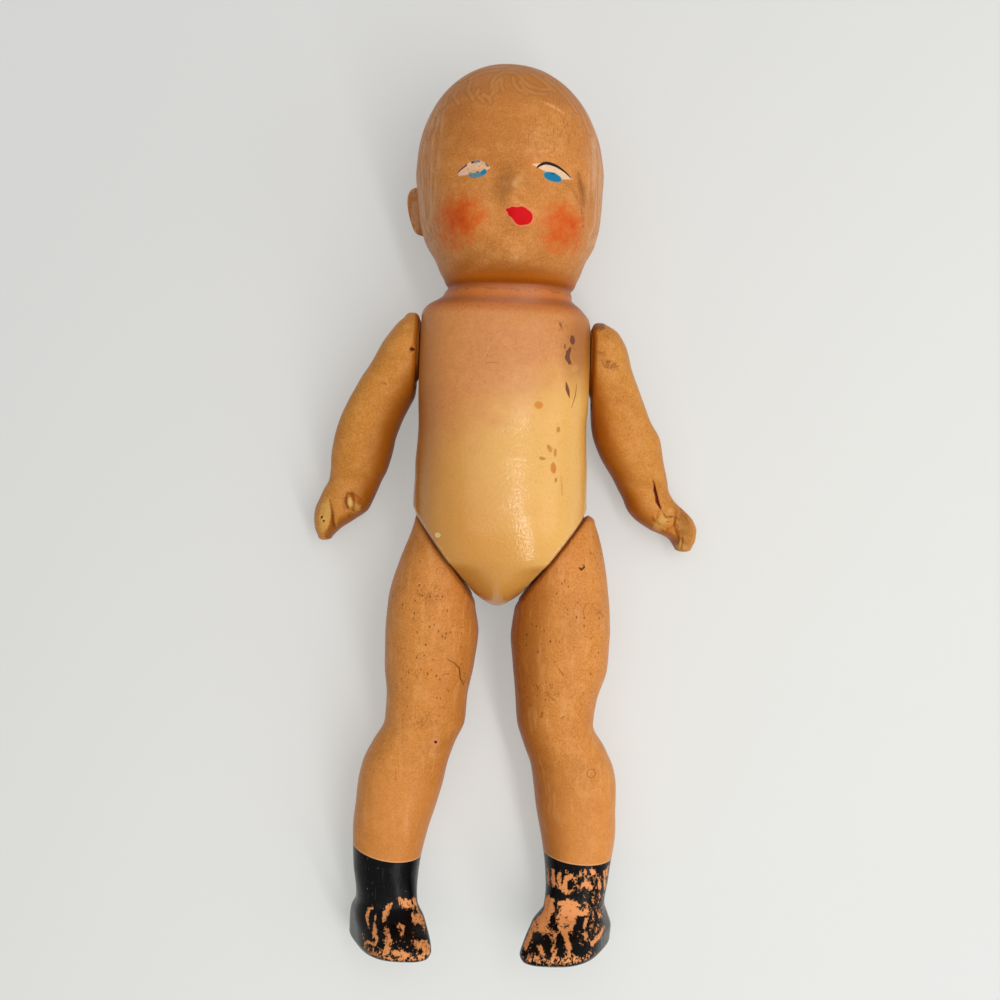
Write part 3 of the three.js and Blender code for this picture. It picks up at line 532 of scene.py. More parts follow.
def makeTrunk():
    grid, level = trunkGrid()
    section = trunkSection(level, 0)
    normal = gridNormals(grid)
    relief = fineFace(grid) + 0.05 * unevenness(grid, 9, 3) - 0.05
    flaking = 0.5 + 0.5 * unevenness(grid, 3, 4) + 1.6 * bump(grid[..., 1] - 23, 5) * (grid[..., 0] > 0)
    seam = bump(grid[..., 2] - trunk["seam"], 0.4) * (section["dome"] > 0.3)
    relief -= 0.16 * np.clip(flaking, 0, 2.4) * seam
    for side in (1, -1):
        relief -= edgeFall(np.maximum(insideHip(grid, side), 0), trunk["hipRound"])
    grid = keepInside(grid + normal * relief[..., None])
    first = np.array([0, trunk["crotch"], trunk["crotchHeight"]])
    last = turnHead(0, trunk["crown"], trunk["crownHeight"])
    frontCount = trunk["frontColumns"]
    arcs = {
        "front": grid[:, : frontCount + 1],
        "back": np.concatenate([grid[:, frontCount:], grid[:, :1]], axis=1),
    }
    cutters = []
    for side in (1, -1):
        shoulder = (side * joints["shoulderFace"], joints["shoulderLine"], joints["shoulderHeight"])
        hip = (side * joints["hipAcross"], joints["hipLine"], joints["hipHeight"])
        outward, way = (side, 0, 0), (side * hipWay[0], hipWay[1], 0)
        cutters += [
            rodAlong(shoulder, outward, *joints["shoulderFlat"]), blockBeyond(hip, way),
            rodAlong(shoulder, outward, *joints["shoulderHole"]), rodAlong(hip, way, *joints["hipHole"]),
        ]
    made = []
    for half, sign in (("front", 1), ("back", -1)):
        hollow, isHollow = trunkHollow(level, sign, trunk["hollowColumns"])
        skin = loft(halfRings(arcs[half], hollow, isHollow), first, last)
        shell = meshObject(f"doll_{half}", *skin)
        if half == "back":
            combine(shell, [makeEar(1), makeEar(-1)], "UNION")
        made.append(combine(shell, cutters))
    return made


front, back = makeTrunk()
print("head and torso:", len(front.data.vertices), len(back.data.vertices))


# limbs: width and depth at each level, in the frame of the joint
def limbSection(limb, level, side):
    values = [curve(level / limb["length"]) for curve in columnCurves(limb["rows"])]
    inner, outer = values[:2] if side > 0 else values[2:4]
    spread, height = limb["spread"][side], limb["height"]
    return {
        "inner": inner * spread, "outer": outer * spread, "back": values[4] * height,
        "front": values[5] * height,
    }


# a domed upper end: its levels, and its width as a share of the full width
def domeLevels(top, depth, count):
    return top + depth * (1 - np.cos(np.linspace(0.02, 0.5 * np.pi, count)))[:-1]


def domeShare(level, top, depth):
    return np.sqrt(np.clip(1 - (1 - np.clip((level - top) / depth, 0, 1)) ** 2, 1e-4, 1))


def upright(level, z):
    return 0


# a ring of points at each level, outwards to the given side
limbForm = {"power": 2 / 2.35, "footPower": 2 / 2.9, "footFlare": 0.1}


def limbRings(section, level, side, count, lean, foot, hollow=0):
    turn = (-np.pi / 2 + 2 * np.pi * np.arange(count) / count)[None]
    middle = (section["inner"] + section["outer"]) / 2
    half = (section["outer"] - section["inner"]) / 2 - hollow
    height = (section["back"] + section["front"]) / 2
    depth = (section["front"] - section["back"]) / 2 - hollow
    power = mix(limbForm["power"], limbForm["footPower"], foot)
    z = height + depth * signedPower(np.sin(turn), power)
    flare = 1 + limbForm["footFlare"] * foot * np.sin(turn)
    x = middle + half * flare * signedPower(np.cos(turn), power)
    x = x + lean(level, z)
    return np.stack([side * x, np.broadcast_to(-level, x.shape), z], axis=-1)


# the flat joint face, and the hole that the wooden plug is glued into
def plugPocket(limb, place, way):
    way, gap = np.array(way), joints["gap"]
    return [blockBeyond(place + gap * way, -way),
            rodAlong(place, way, -2, gap + limb["plugReach"], limb["plugRadius"])]


def limbShells(name, grid, hollow, isHollow, pocket):
    count = grid.shape[1] // 2
    closed = np.concatenate([grid, grid[:, :1]], axis=1)
    closedHollow = np.concatenate([hollow, hollow[:, :1]], axis=1)
    hollowCount = hollow.shape[1] // 2
    made = []
    for half, start, hollowStart in (("outer", 0, 0), ("inner", count, hollowCount)):
        skin = closed[:, start : start + count + 1]
        behind = closedHollow[:, hollowStart : hollowStart + hollowCount + 1][:, ::-1]
        shell = meshObject(f"{name}_{half}_shell", *loft(halfRings(skin, behind, isHollow)))
        made.append(combine(shell, pocket))
    return made


arm = {
    "length": 56.3, "spread": {1: 34.7, -1: 31.1}, "height": joints["shoulderHeight"],
    "top": {1: 10, -1: 11.2}, "wall": 2.5, "columns": 200, "hollowColumns": 24, "hollowFrom": 10.2,
    "hollowTo": 0.66, "plugRadius": 5.5, "plugReach": 7.7, "faceRound": 1.8, "topRound": 3.2,
    "topPlace": (0.1, 0.4), "wrist": 0.58, "tipPlace": (0.9, -0.67),
    # level, inner and outer edge of the left arm, the same of the right arm, back and front
    "rows": [
        [-0.169, -0.094, 0.167, -0.105, 0.18, -0.205, 0.25],
        [-0.12, -0.113, 0.245, -0.126, 0.259, -0.3, 0.35],
        [-0.044, -0.113, 0.317, -0.126, 0.354, -0.386, 0.432],
        [0.057, -0.113, 0.363, -0.126, 0.453, -0.432, 0.432],
        [0.162, -0.056, 0.435, -0.031, 0.574, -0.49, 0.364],
        [0.318, 0.032, 0.549, 0.128, 0.726, -0.614, 0.182],
        [0.421, 0.072, 0.645, 0.207, 0.794, -0.69, 0.09], [0.524, 0.148, 0.681, 0.251, 0.832, -0.75, 0],
        [0.625, 0.256, 0.723, 0.307, 0.847, -0.81, -0.114],
        [0.677, 0.303, 0.743, 0.356, 0.861, -0.827, -0.205],
        [0.728, 0.352, 0.792, 0.396, 0.911, -0.864, -0.227],
        [0.78, 0.388, 0.878, 0.436, 0.952, -0.91, -0.227],
        [0.831, 0.458, 0.963, 0.484, 0.99, -0.955, -0.25], [0.883, 0.589, 1, 0.61, 1, -0.977, -0.273],
        [0.933, 0.763, 0.994, 0.741, 0.992, -0.98, -0.318], [0.98, 0.82, 0.966, 0.823, 0.959, -0.92, -0.42],
    ],
}


# a section drawn together to a round end
def roundedEnd(section, share, place):
    middle = (section["inner"] + section["outer"]) / 2
    height = (section["back"] + section["front"]) / 2
    across, up = place
    for key, centre, aim in (("inner", middle, across), ("outer", middle, across),
                             ("back", height, up), ("front", height, up)):
        drawn = centre + (section[key] - centre) * share
        section[key] = drawn + (aim - centre) * (1 - share)
    return section


# moulded hand: thumb, curled fingers, the grooves round them and a split in the left wrist
hand = {
    1: {
        "raised": [spot(55, -1.8, 3, 5.8, 20, height=0.55, soft=0.6),
                   spot(47.9, -0.6, 2, 1, -15, height=0.7, soft=0.6)],
        "sunk": [line([(50.6, 5.8, 0.1), (51.8, 2, 0.3), (51.4, -1.4, 0.3), (49.2, -3, 0.2)],
                      height=0.45, soft=0.4),
                 line([(53.6, -3, 0.1), (54.2, -6.4, 0.25), (54, -9, 0.2)], height=0.4, soft=0.35),
                 line([(46.6, 2, 0.1), (46.2, 0.4, 0.2), (46.8, -1.6, 0.1)], height=0.3, soft=0.3)],
        "split": [line([(44.6, 11.4, 0), (45.3, 9.6, 0.15), (45.5, 8.4, 0.36), (46.1, 6.6, 0.34),
                        (46.3, 5.2, 0.44), (46.9, 4, 0.24), (47.5, 2.6, 0)], height=0.6, soft=0.2)],
        "pitted": (54.6, -1, 3, 5.4, 20),
    },
    -1: {
        "raised": [spot(-44.2, 2.1, 1, 2.2, 4, height=1.3, soft=0.5),
                   spot(-51.7, -2.4, 2.3, 5.6, -8, height=0.6, soft=0.5),
                   spot(-42.4, 0.4, 1.6, 1.6, 20, height=0.4, soft=0.6)],
        "sunk": [line([(-45.7, 4.4, 0.1), (-45.8, 2, 0.2), (-45.4, -0.4, 0.2)], height=0.4, soft=0.4),
                 line([(-49.8, 2.8, 0.1), (-49.2, -1, 0.25), (-48.5, -5.8, 0.3)], height=0.5, soft=0.4),
                 line([(-45.2, 4.9, 0.1), (-43.6, 5, 0.2), (-40.4, 2.8, 0.1)], height=0.3, soft=0.4),
                 spot(-52.4, -2.8, 0.4, 0.3, 30, height=0.5, soft=0.15),
                 spot(-51.8, -3.9, 0.3, 0.25, height=0.5, soft=0.15)],
        "split": [spot(-26.4, 46.3, 0.6, 0.35, -8, height=0.9, soft=0.18)],
        "pitted": (-51.6, -2.4, 2, 5, -8),
    },
}


def handRelief(points, normals, side):
    x, y = points[..., 0], points[..., 1]
    total = np.zeros(x.shape)
    for key, sign in (("raised", 1), ("sunk", -1), ("split", -1)):
        for form in hand[side][key]:
            away = form["away"](x, y, *form["place"])
            total += sign * form["height"] * (1 - step(away, -form["soft"], form["soft"]))
    worn = 1 - step(ovalAway(x, y, *hand[side]["pitted"]), -1.2, 0.4)
    total += worn * (0.12 * unevenness(points, 2.2, 31) + 0.08 * unevenness(points, 1.1, 32))
    return total * step(normals[..., 2], 0.05, 0.45)


def makeArm(name, side):
    length, spread, domed = arm["length"], arm["spread"][side], arm["topRound"]
    top, wrist, last = -arm["top"][side], arm["wrist"] * length, arm["rows"][-1][0] * length
    tipShare = np.sin(np.linspace(0, 0.49 * np.pi, 14))
    level = np.concatenate([
        domeLevels(top, domed, 18), steps(top + domed, wrist, 0.6), steps(wrist, last, 0.24),
        mix(last, length - 0.05, tipShare),
    ])[:, None]
    section = limbSection(arm, level, side)
    across, up = arm["topPlace"]
    section = roundedEnd(section, domeShare(level, top, domed), (across * spread, up))
    tip = np.clip((level - last) / (length - last), 0, 1)
    across, up = arm["tipPlace"]
    section = roundedEnd(section, np.sqrt(1 - tip ** 2), (across * spread, up * arm["height"]))
    grid = limbRings(section, level, side, arm["columns"], upright, 0)
    place = np.array([side * joints["shoulderFace"], joints["shoulderLine"], joints["shoulderHeight"]])
    normals = gridNormals(grid)
    relief = 0.06 * unevenness(grid, 8, 11 + side) - 0.06 + handRelief(grid + place, normals, side)
    faceDistance = side * grid[..., 0] - joints["gap"]
    relief -= edgeFall(np.maximum(faceDistance, 0), arm["faceRound"])
    grid = keepInside(grid + normals * relief[..., None] + place) - place
    hollow = limbRings(limbSection(arm, level, side), level, side, arm["hollowColumns"],
                       upright, 0, arm["wall"])
    isHollow = ((level > arm["hollowFrom"]) & (level < arm["hollowTo"] * length))[:, 0]
    return limbShells(name, grid + place, hollow + place, isHollow, plugPocket(arm, place, (side, 0, 0)))


leg = {
    "length": 116, "spread": {1: 28, -1: 28}, "height": joints["hipHeight"], "wall": 2.5, "columns": 180,
    "hollowColumns": 28, "hollowFrom": 17.5, "hollowTo": 0.84, "plugRadius": 7.8, "plugReach": 8.7,
    "faceRound": 0.8, "topRound": 2, "topPlace": (0.32, 0), "ankle": 0.86, "sole": 0.975, "foot": (0.8, 0.96),
    "toeIn": 0.33, "splay": {1: math.radians(-1), -1: math.radians(1.2)},
    # level, inner and outer edge of the left leg, the same of the right leg, back and front
    "rows": [
        [-0.114, 0.25, 0.431, 0.25, 0.337, -0.16, 0.16], [-0.09, 0.1, 0.451, 0.1, 0.344, -0.4, 0.42],
        [-0.059, -0.1, 0.498, -0.1, 0.373, -0.545, 0.545], [0.013, -0.3, 0.577, -0.3, 0.479, -0.727, 0.66],
        [0.116, -0.335, 0.646, -0.325, 0.583, -0.82, 0.636],
        [0.194, -0.367, 0.67, -0.378, 0.597, -0.855, 0.59],
        [0.272, -0.331, 0.663, -0.352, 0.59, -0.873, 0.523],
        [0.358, -0.285, 0.57, -0.296, 0.554, -0.845, 0.41],
        [0.418, -0.253, 0.547, -0.285, 0.558, -0.82, 0.34],
        [0.478, -0.167, 0.685, -0.188, 0.675, -0.82, 0.295],
        [0.53, -0.085, 0.785, -0.127, 0.769, -0.855, 0.273],
        [0.582, -0.043, 0.828, -0.085, 0.808, -0.9, 0.255],
        [0.642, -0.004, 0.836, -0.025, 0.826, -0.927, 0.227],
        [0.694, 0.046, 0.846, 0.036, 0.841, -0.936, 0.182],
        [0.789, 0.121, 0.808, 0.111, 0.818, -0.89, 0.09], [0.884, 0.15, 0.781, 0.14, 0.781, -0.9, 0.027],
        [0.918, 0.08, 0.825, 0.1, 0.825, -0.955, 0.18], [0.948, 0.083, 0.868, 0.114, 0.838, -0.99, 0.455],
        [0.978, 0.072, 0.865, 0.114, 0.842, -1, 0.59], [0.993, 0.094, 0.825, 0.136, 0.81, -0.98, 0.56],
        [1, 0.13, 0.77, 0.172, 0.764, -0.95, 0.49],
    ],
}


def makeLeg(name, side):
    length, spread, domed = leg["length"], leg["spread"][side], leg["topRound"]
    top, ankle, sole = leg["rows"][0][0] * length, leg["ankle"] * length, leg["sole"] * length
    level = np.concatenate([
        domeLevels(top, domed, 12), steps(top + domed, ankle, 0.8), steps(ankle, sole, 0.34),
        steps(sole, length, 0.15), [length],
    ])[:, None]
    section = limbSection(leg, level, side)
    across, up = leg["topPlace"]
    section = roundedEnd(section, domeShare(level, top, domed), (across * spread, up))
    foot = step(level, *[share * length for share in leg["foot"]])
    splay = math.tan(leg["splay"][side])

    def lean(level, z):
        return level * splay - leg["toeIn"] * foot * (z + leg["height"] / 2)

    grid = limbRings(section, level, side, leg["columns"], lean, foot)
    place = np.array([side * joints["hipAcross"], joints["hipLine"], joints["hipHeight"]])
    relief = 0.06 * unevenness(grid, 10, 21 + side) - 0.06
    faceDistance = side * grid[..., 0] * hipWay[0] + grid[..., 1] * hipWay[1] - joints["gap"]
    relief -= edgeFall(np.maximum(faceDistance, 0), leg["faceRound"])
    relief *= 1 - step(level, 0.97 * length, 0.99 * length)
    grid = keepInside(grid + gridNormals(grid) * relief[..., None] + place) - place
    hollow = limbRings(limbSection(leg, level, side), level, side, leg["hollowColumns"], lean, 0, leg["wall"])
    isHollow = ((level > leg["hollowFrom"]) & (level < leg["hollowTo"] * length))[:, 0]
    pocket = plugPocket(leg, place, (side * hipWay[0], hipWay[1], 0))
    return limbShells(name, grid + place, hollow + place, isHollow, pocket)


limbs = {}
for kind, make in (("arm", makeArm), ("leg", makeLeg)):
    for name, side in ((f"left_{kind}", 1), (f"right_{kind}", -1)):
        limbs[name] = make(name, side)
print("limbs:", {name: [len(half.data.vertices) for half in halves] for name, halves in limbs.items()})


def srgb(red, green, blue):
    linear = [((value / 255 + 0.055) / 1.055) ** 2.4 if value > 10 else value / 255 / 12.92
              for value in (red, green, blue)]
    return (*linear, 1)


# paint worked out at every point of a surface, from its place in millimetres
class Field:
    def __init__(self, tree, socket):
        self.tree, self.socket = tree, socket

    def work(self, operation, *values):
        node = self.tree.nodes.new("ShaderNodeMath")
        node.operation = operation
        for place, value in enumerate((self, *values)):
            if isinstance(value, Field):
                self.tree.links.new(value.socket, node.inputs[place])
            else:
                node.inputs[place].default_value = value
        return Field(self.tree, node.outputs[0])

    def __add__(self, other):
        return self.work("ADD", other)

    def __sub__(self, other):
        return self.work("SUBTRACT", other)

    def __mul__(self, other):
        return self.work("MULTIPLY", other)

    def __neg__(self):
        return self.work("MULTIPLY", -1)

    def size(self):
        return self.work("ABSOLUTE")

    def least(self, other):
        return self.work("MINIMUM", other)

    def most(self, other):
        return self.work("MAXIMUM", other)

    def root(self):
        return self.work("SQRT")

    # from 0 at the first value to 1 at the second
    def ramp(self, low, high):
        node = self.tree.nodes.new("ShaderNodeMapRange")
        node.interpolation_type = "SMOOTHSTEP"
        self.tree.links.new(self.socket, node.inputs["Value"])
        node.inputs["From Min"].default_value = low
        node.inputs["From Max"].default_value = high
        return Field(self.tree, node.outputs[0])


class Surface:
    def __init__(self, name):
        self.material = bpy.data.materials.new(name)
        self.material.use_nodes = True
        self.tree = self.material.node_tree
        self.shader = self.tree.nodes["Principled BSDF"]
        coordinates = self.add("ShaderNodeTexCoord")
        scale = self.add("ShaderNodeVectorMath")
        scale.operation = "SCALE"
        scale.inputs["Scale"].default_value = 1000
        self.link(coordinates.outputs["Object"], scale.inputs[0])
        self.place = scale.outputs[0]
        apart = self.add("ShaderNodeSeparateXYZ")
        self.link(self.place, apart.inputs[0])
        self.x, self.y, self.z = [Field(self.tree, output) for output in apart.outputs]
        facing = self.add("ShaderNodeSeparateXYZ")
        self.link(coordinates.outputs["Normal"], facing.inputs[0])
        self.front = Field(self.tree, facing.outputs[2]).ramp(0.05, 0.3)
        self.colour = self.rough = self.height = None

    def add(self, kind):
        return self.tree.nodes.new(kind)

    def link(self, start, end):
        self.tree.links.new(start, end)

    def stretched(self, size, stretch):
        node = self.add("ShaderNodeVectorMath")
        node.operation = "MULTIPLY"
        self.link(self.place, node.inputs[0])
        node.inputs[1].default_value = [1 / (size * part) for part in stretch]
        return node.outputs[0]

    # clouds of a given size
    def noise(self, size, detail=3, roughness=0.55, stretch=(1, 1, 1)):
        node = self.add("ShaderNodeTexNoise")
        node.inputs["Scale"].default_value = 1
        node.inputs["Detail"].default_value = detail
        node.inputs["Roughness"].default_value = roughness
        self.link(self.stretched(size, stretch), node.inputs["Vector"])
        return Field(self.tree, node.outputs["Fac"])

    # scattered cells: how far a point lies from the middle of its cell, and a number for the cell
    def cells(self, size, stretch=(1, 1, 1)):
        node = self.add("ShaderNodeTexVoronoi")
        node.inputs["Scale"].default_value = 1
        self.link(self.stretched(size, stretch), node.inputs["Vector"])
        parts = self.add("ShaderNodeSeparateColor")
        self.link(node.outputs["Color"], parts.inputs[0])
        return Field(self.tree, node.outputs["Distance"]), Field(self.tree, parts.outputs[0])

    def tone(self, name):
        node = self.add("ShaderNodeAttribute")
        node.attribute_name = name
        return Field(self.tree, node.outputs["Fac"])

    def tint(self, under, over, share):
        node = self.add("ShaderNodeMix")
        node.data_type = "RGBA"
        self.link(share.socket, node.inputs[0])
        for place, colour in ((6, under), (7, over)):
            if isinstance(colour, tuple):
                node.inputs[place].default_value = colour
            else:
                self.link(colour, node.inputs[place])
        return node.outputs[2]

    # signed distance from an oval, less than nothing inside it
    def oval(self, x, y, across, along, halfAcross, halfAlong, degrees=0):
        turn = math.radians(degrees)
        aside, ahead = x - across, y - along
        u = (aside * math.cos(turn) + ahead * math.sin(turn)) * (1 / halfAcross)
        v = (ahead * math.cos(turn) - aside * math.sin(turn)) * (1 / halfAlong)
        return ((u * u + v * v).root() - 1) * min(halfAcross, halfAlong)

    # signed distance from a line drawn through points, each with its half width
    def stroke(self, x, y, points):
        nearest = None
        for (ax, ay, aw), (bx, by, bw) in zip(points, points[1:]):
            dx, dy = bx - ax, by - ay
            long = dx * dx + dy * dy
            px, py = x - ax, y - ay
            share = (px * (dx / long) + py * (dy / long)).most(0).least(1)
            ex, ey = px - share * dx, py - share * dy
            away = (ex * ex + ey * ey).root() - (share * (bw - aw) + aw)
            nearest = away if nearest is None else nearest.least(away)
        return nearest

    def lift(self, height):
        self.height = height if self.height is None else self.height + height

    def finish(self):
        self.link(self.colour, self.shader.inputs["Base Color"])
        self.link(self.rough.socket, self.shader.inputs["Roughness"])
        node = self.add("ShaderNodeBump")
        node.inputs["Strength"].default_value = 1
        node.inputs["Distance"].default_value = mm
        self.link(self.height.socket, node.inputs["Height"])
        self.link(node.outputs[0], self.shader.inputs["Normal"])
        return self.material

    def over(self, colour, share):
        self.colour = self.tint(self.colour, srgb(*colour), share)

    def gloss(self, roughness, share):
        self.rough = self.rough + (-self.rough + roughness) * share


# painted composition: cloudy flesh paint, fine specks, and marks kept as soft tones on the mesh
skinPaint = {
    "shade": (160, 90, 30), "pale": (232, 166, 98), "speck": (96, 52, 20), "dirtAndShade": (126, 66, 14),
    "wearAndHighlight": (234, 176, 112), "shadeOchre": (150, 78, 0), "streak": (222, 184, 150),
    "blotch": 15, "cloud": 3.6, "grain": 0.55, "roughness": 0.42, "specular": 0.12,
}


def compositionSkin(name, base):
    skin = Surface(name)
    skin.shader.inputs["Specular IOR Level"].default_value = skinPaint["specular"]
    skin.colour = srgb(*base)
    skin.over(skinPaint["shade"], skin.noise(skinPaint["blotch"]).ramp(0.46, 0.7) * 0.25)
    cloud = skin.noise(skinPaint["cloud"], 6, 0.68)
    skin.over(skinPaint["pale"], cloud.ramp(0.46, 0.68) * 0.26)
    grain = skin.noise(skinPaint["grain"], 4, 0.72)
    skin.over(skinPaint["shade"], grain.ramp(0.46, 0.66) * (cloud.ramp(0.6, 0.42) * 0.24 + 0.24))
    skin.over(skinPaint["pale"], grain.ramp(0.46, 0.34) * 0.34)
    # painted shade: a deep ochre where the limbs face the body, down the left side of the torso, beside the
    # left arm, under the chin and over the left of the brow
    skin.over(skinPaint["shadeOchre"], skin.tone("shadeOchre") * 0.95)
    skin.ragged = (skin.noise(1.2, 6, 0.74) - 0.5) * 3.4
    skin.crumb = (skin.noise(0.5, 4, 0.7, (1, 1.3, 1)) - 0.5) * 3.4
    speck = (skin.crumb * 0.6 + skin.noise(6, 4, 0.65) * 0.9).ramp(0.86, 0.98)
    skin.over(skinPaint["speck"], speck * 0.7)
    skin.rough = grain * 0.2 + (skinPaint["roughness"] - 0.1)
    skin.lift(cloud * 0.16 + grain * 0.06 - speck * 0.05)
    # pale marks: rubbed paint, and painted highlights where the marks sit on lit places
    wearAndHighlight, dirtAndShade = skin.tone("wearAndHighlight"), skin.tone("dirtAndShade")
    worn = (wearAndHighlight * 1.3 + skin.ragged * 0.4 - 0.3).ramp(0, 0.9)
    skin.over(skinPaint["wearAndHighlight"], worn * wearAndHighlight.ramp(0, 0.2) * 0.85)
    # dark marks: dirt and stains, and painted shade where the marks lie in shaded places
    stain = dirtAndShade * 1.1 + skin.crumb * 0.5 + skin.ragged * 0.4 - 0.52
    skin.over(skinPaint["dirtAndShade"], stain.ramp(0, 0.6) * dirtAndShade.ramp(0, 0.1) * 0.8)
    return skin


# crisp marks, drawn by the paint itself
def drawMarks(skin, marks):
    for mark in marks:
        draw = skin.stroke if mark["away"] is lineAway else skin.oval
        away = draw(skin.x, skin.y, *mark["place"])
        if mark.get("rough"):
            away = away + (skin.ragged + skin.crumb) * (0.4 * mark["rough"])
        soft = mark.get("soft", 0.09)
        share = away.ramp(soft, -soft) * skin.front
        skin.over(mark["colour"], share * mark.get("share", 0.9))
        if mark.get("depth"):
            skin.lift(share * -mark["depth"])


# face paint
face = {
    "lash": (42, 14, 14), "white": (232, 198, 162), "corner": (226, 176, 154), "iris": (28, 118, 158),
    "wornIris": (66, 132, 152), "irisEdge": (90, 150, 150), "wornLash": (92, 112, 126),
    "lip": (206, 10, 17), "lipEdge": (232, 128, 92), "blush": (210, 90, 22), "blushCore": (190, 54, 4),
    "browCrack": (116, 62, 22),
    "tones": {
        "blush": [
            spot(-13.4, 80.6, 5, 5.4, soft=5, share=0.82), spot(-15, 79.4, 2, 2.2, soft=3.2, share=0.9),
            spot(14.6, 79, 5.2, 5.2, 20, soft=5, share=0.72),
            spot(13.6, 76.6, 2.4, 1.4, 20, soft=2.4, share=0.9),
            spot(17.2, 80, 1.8, 3.2, 20, soft=2.4, share=0.85),
        ],
        # dark marks: the broad spots on the left of the brow and temple and the line under the chin are
        # painted shade; the others are dirt and stains
        "dirtAndShade": [
            spot(-3.6, 86.4, 1.5, 3, 15, soft=1.3, share=0.2), spot(-2.8, 79, 1.3, 2.4, soft=1.2, share=0.3),
            line([(11.4, 80.4, 0.1), (14.4, 79.6, 0.2), (17, 78.6, 0.2), (17.4, 75.6, 0.2),
                  (15.6, 73.8, 0.1)], soft=0.7, share=0.75),
            line([(12.4, 76.6, 0.1), (11.4, 74.6, 0.2)], soft=0.6, share=0.6),
            line([(18.4, 84, 0.2), (17.6, 80, 0.2)], soft=0.6, share=0.7),
            spot(-4.6, 93.4, 1.6, 1.4, soft=1.2, share=0.4),
            spot(5.4, 87.4, 1.3, 2.4, -15, soft=1.2, share=0.3),
            line([(18.4, 94.8, 0.6), (19.4, 91, 1.5), (20.2, 88.4, 1.3), (20.5, 85.4, 0.6)],
                 soft=1.8, share=0.85),
            spot(20.2, 82, 1.1, 5.6, 6, soft=1, share=0.7),
            spot(16.4, 90.6, 3.2, 2, -30, soft=1.4, share=0.5),
            spot(13.6, 106, 3.6, 4.6, soft=2.4, share=0.45), spot(-13, 105, 8, 8, soft=5, share=0.3),
            spot(18.4, 102, 2.6, 7, soft=2, share=0.4), spot(3, 69.2, 10, 0.5, soft=0.5, share=0.5),
            spot(-16, 97, 4, 4, soft=3, share=0.3), spot(5, 115.6, 10, 2, soft=1.5, share=0.35),
            spot(-2, 120, 4, 3.4, soft=1.5, share=0.3),
        ],
        # pale marks: on the nose tip, the nose's left side, the upper lip, the chin and the right of the brow
        # they are painted highlights; the others are paler paint
        "wearAndHighlight": [
            spot(2.3, 90.3, 1.7, 1.3, soft=1.6, share=0.62), spot(2.2, 70.6, 1.6, 1.3, soft=1.8, share=0.62),
            spot(-1.4, 89.6, 1.2, 2.6, soft=1.4, share=0.45),
            spot(1.2, 89.4, 1.4, 1.6, soft=1.2, share=0.7), spot(2.6, 84, 3, 0.6, -8, soft=0.7, share=0.5),
            spot(2.2, 70.8, 3.2, 2.8, soft=2.4, share=0.5), spot(9, 102, 8, 7, soft=5, share=0.4),
            spot(-7.6, 72.6, 3, 3, soft=2, share=0.3),
            line([(7.2, 113.8, 0.2), (10.6, 112.6, 0.5), (14, 111, 0.3)], soft=0.5, share=0.8),
            line([(-13.4, 114.4, 0.1), (-5, 115.2, 0.2), (2, 114.8, 0.1)], soft=0.5, share=0.4),
        ],
        # painted shade under the chin and over the left of the brow, and a darker patch on the crown
        "shadeOchre": [
            spot(0, 66.2, 14.5, 1.6, soft=2, share=0.8), spot(-12, 68.6, 3.6, 2.4, 30, soft=2, share=0.5),
            spot(-8, 104, 12, 10, soft=7, share=0.24), spot(11, 121, 9, 5, soft=4, share=0.24),
        ],
    },
    "cracks": [
        line([(18.6, 94.6, 0.3), (19.6, 90.6, 0.9), (20.4, 86.2, 0.5)],
             colour=(112, 58, 6), soft=0.6, rough=3, share=0.34),
        line([(14.8, 91.4, 0.2), (17.6, 88.8, 0.4), (19.6, 86.2, 0.5)],
             colour=(128, 68, 8), soft=0.5, rough=3, share=0.3),
        line([(11.3, 105.6, 0.05), (11.2, 101.7, 0.05)], colour=(118, 70, 34), share=0.7),
        line([(15.7, 105.2, 0.08), (15.6, 102, 0.05)], colour=(118, 70, 34), share=0.7),
        line([(4.4, 103.7, 0.06), (4.5, 100, 0.04)], colour=(128, 78, 38), share=0.7),
    ],
}


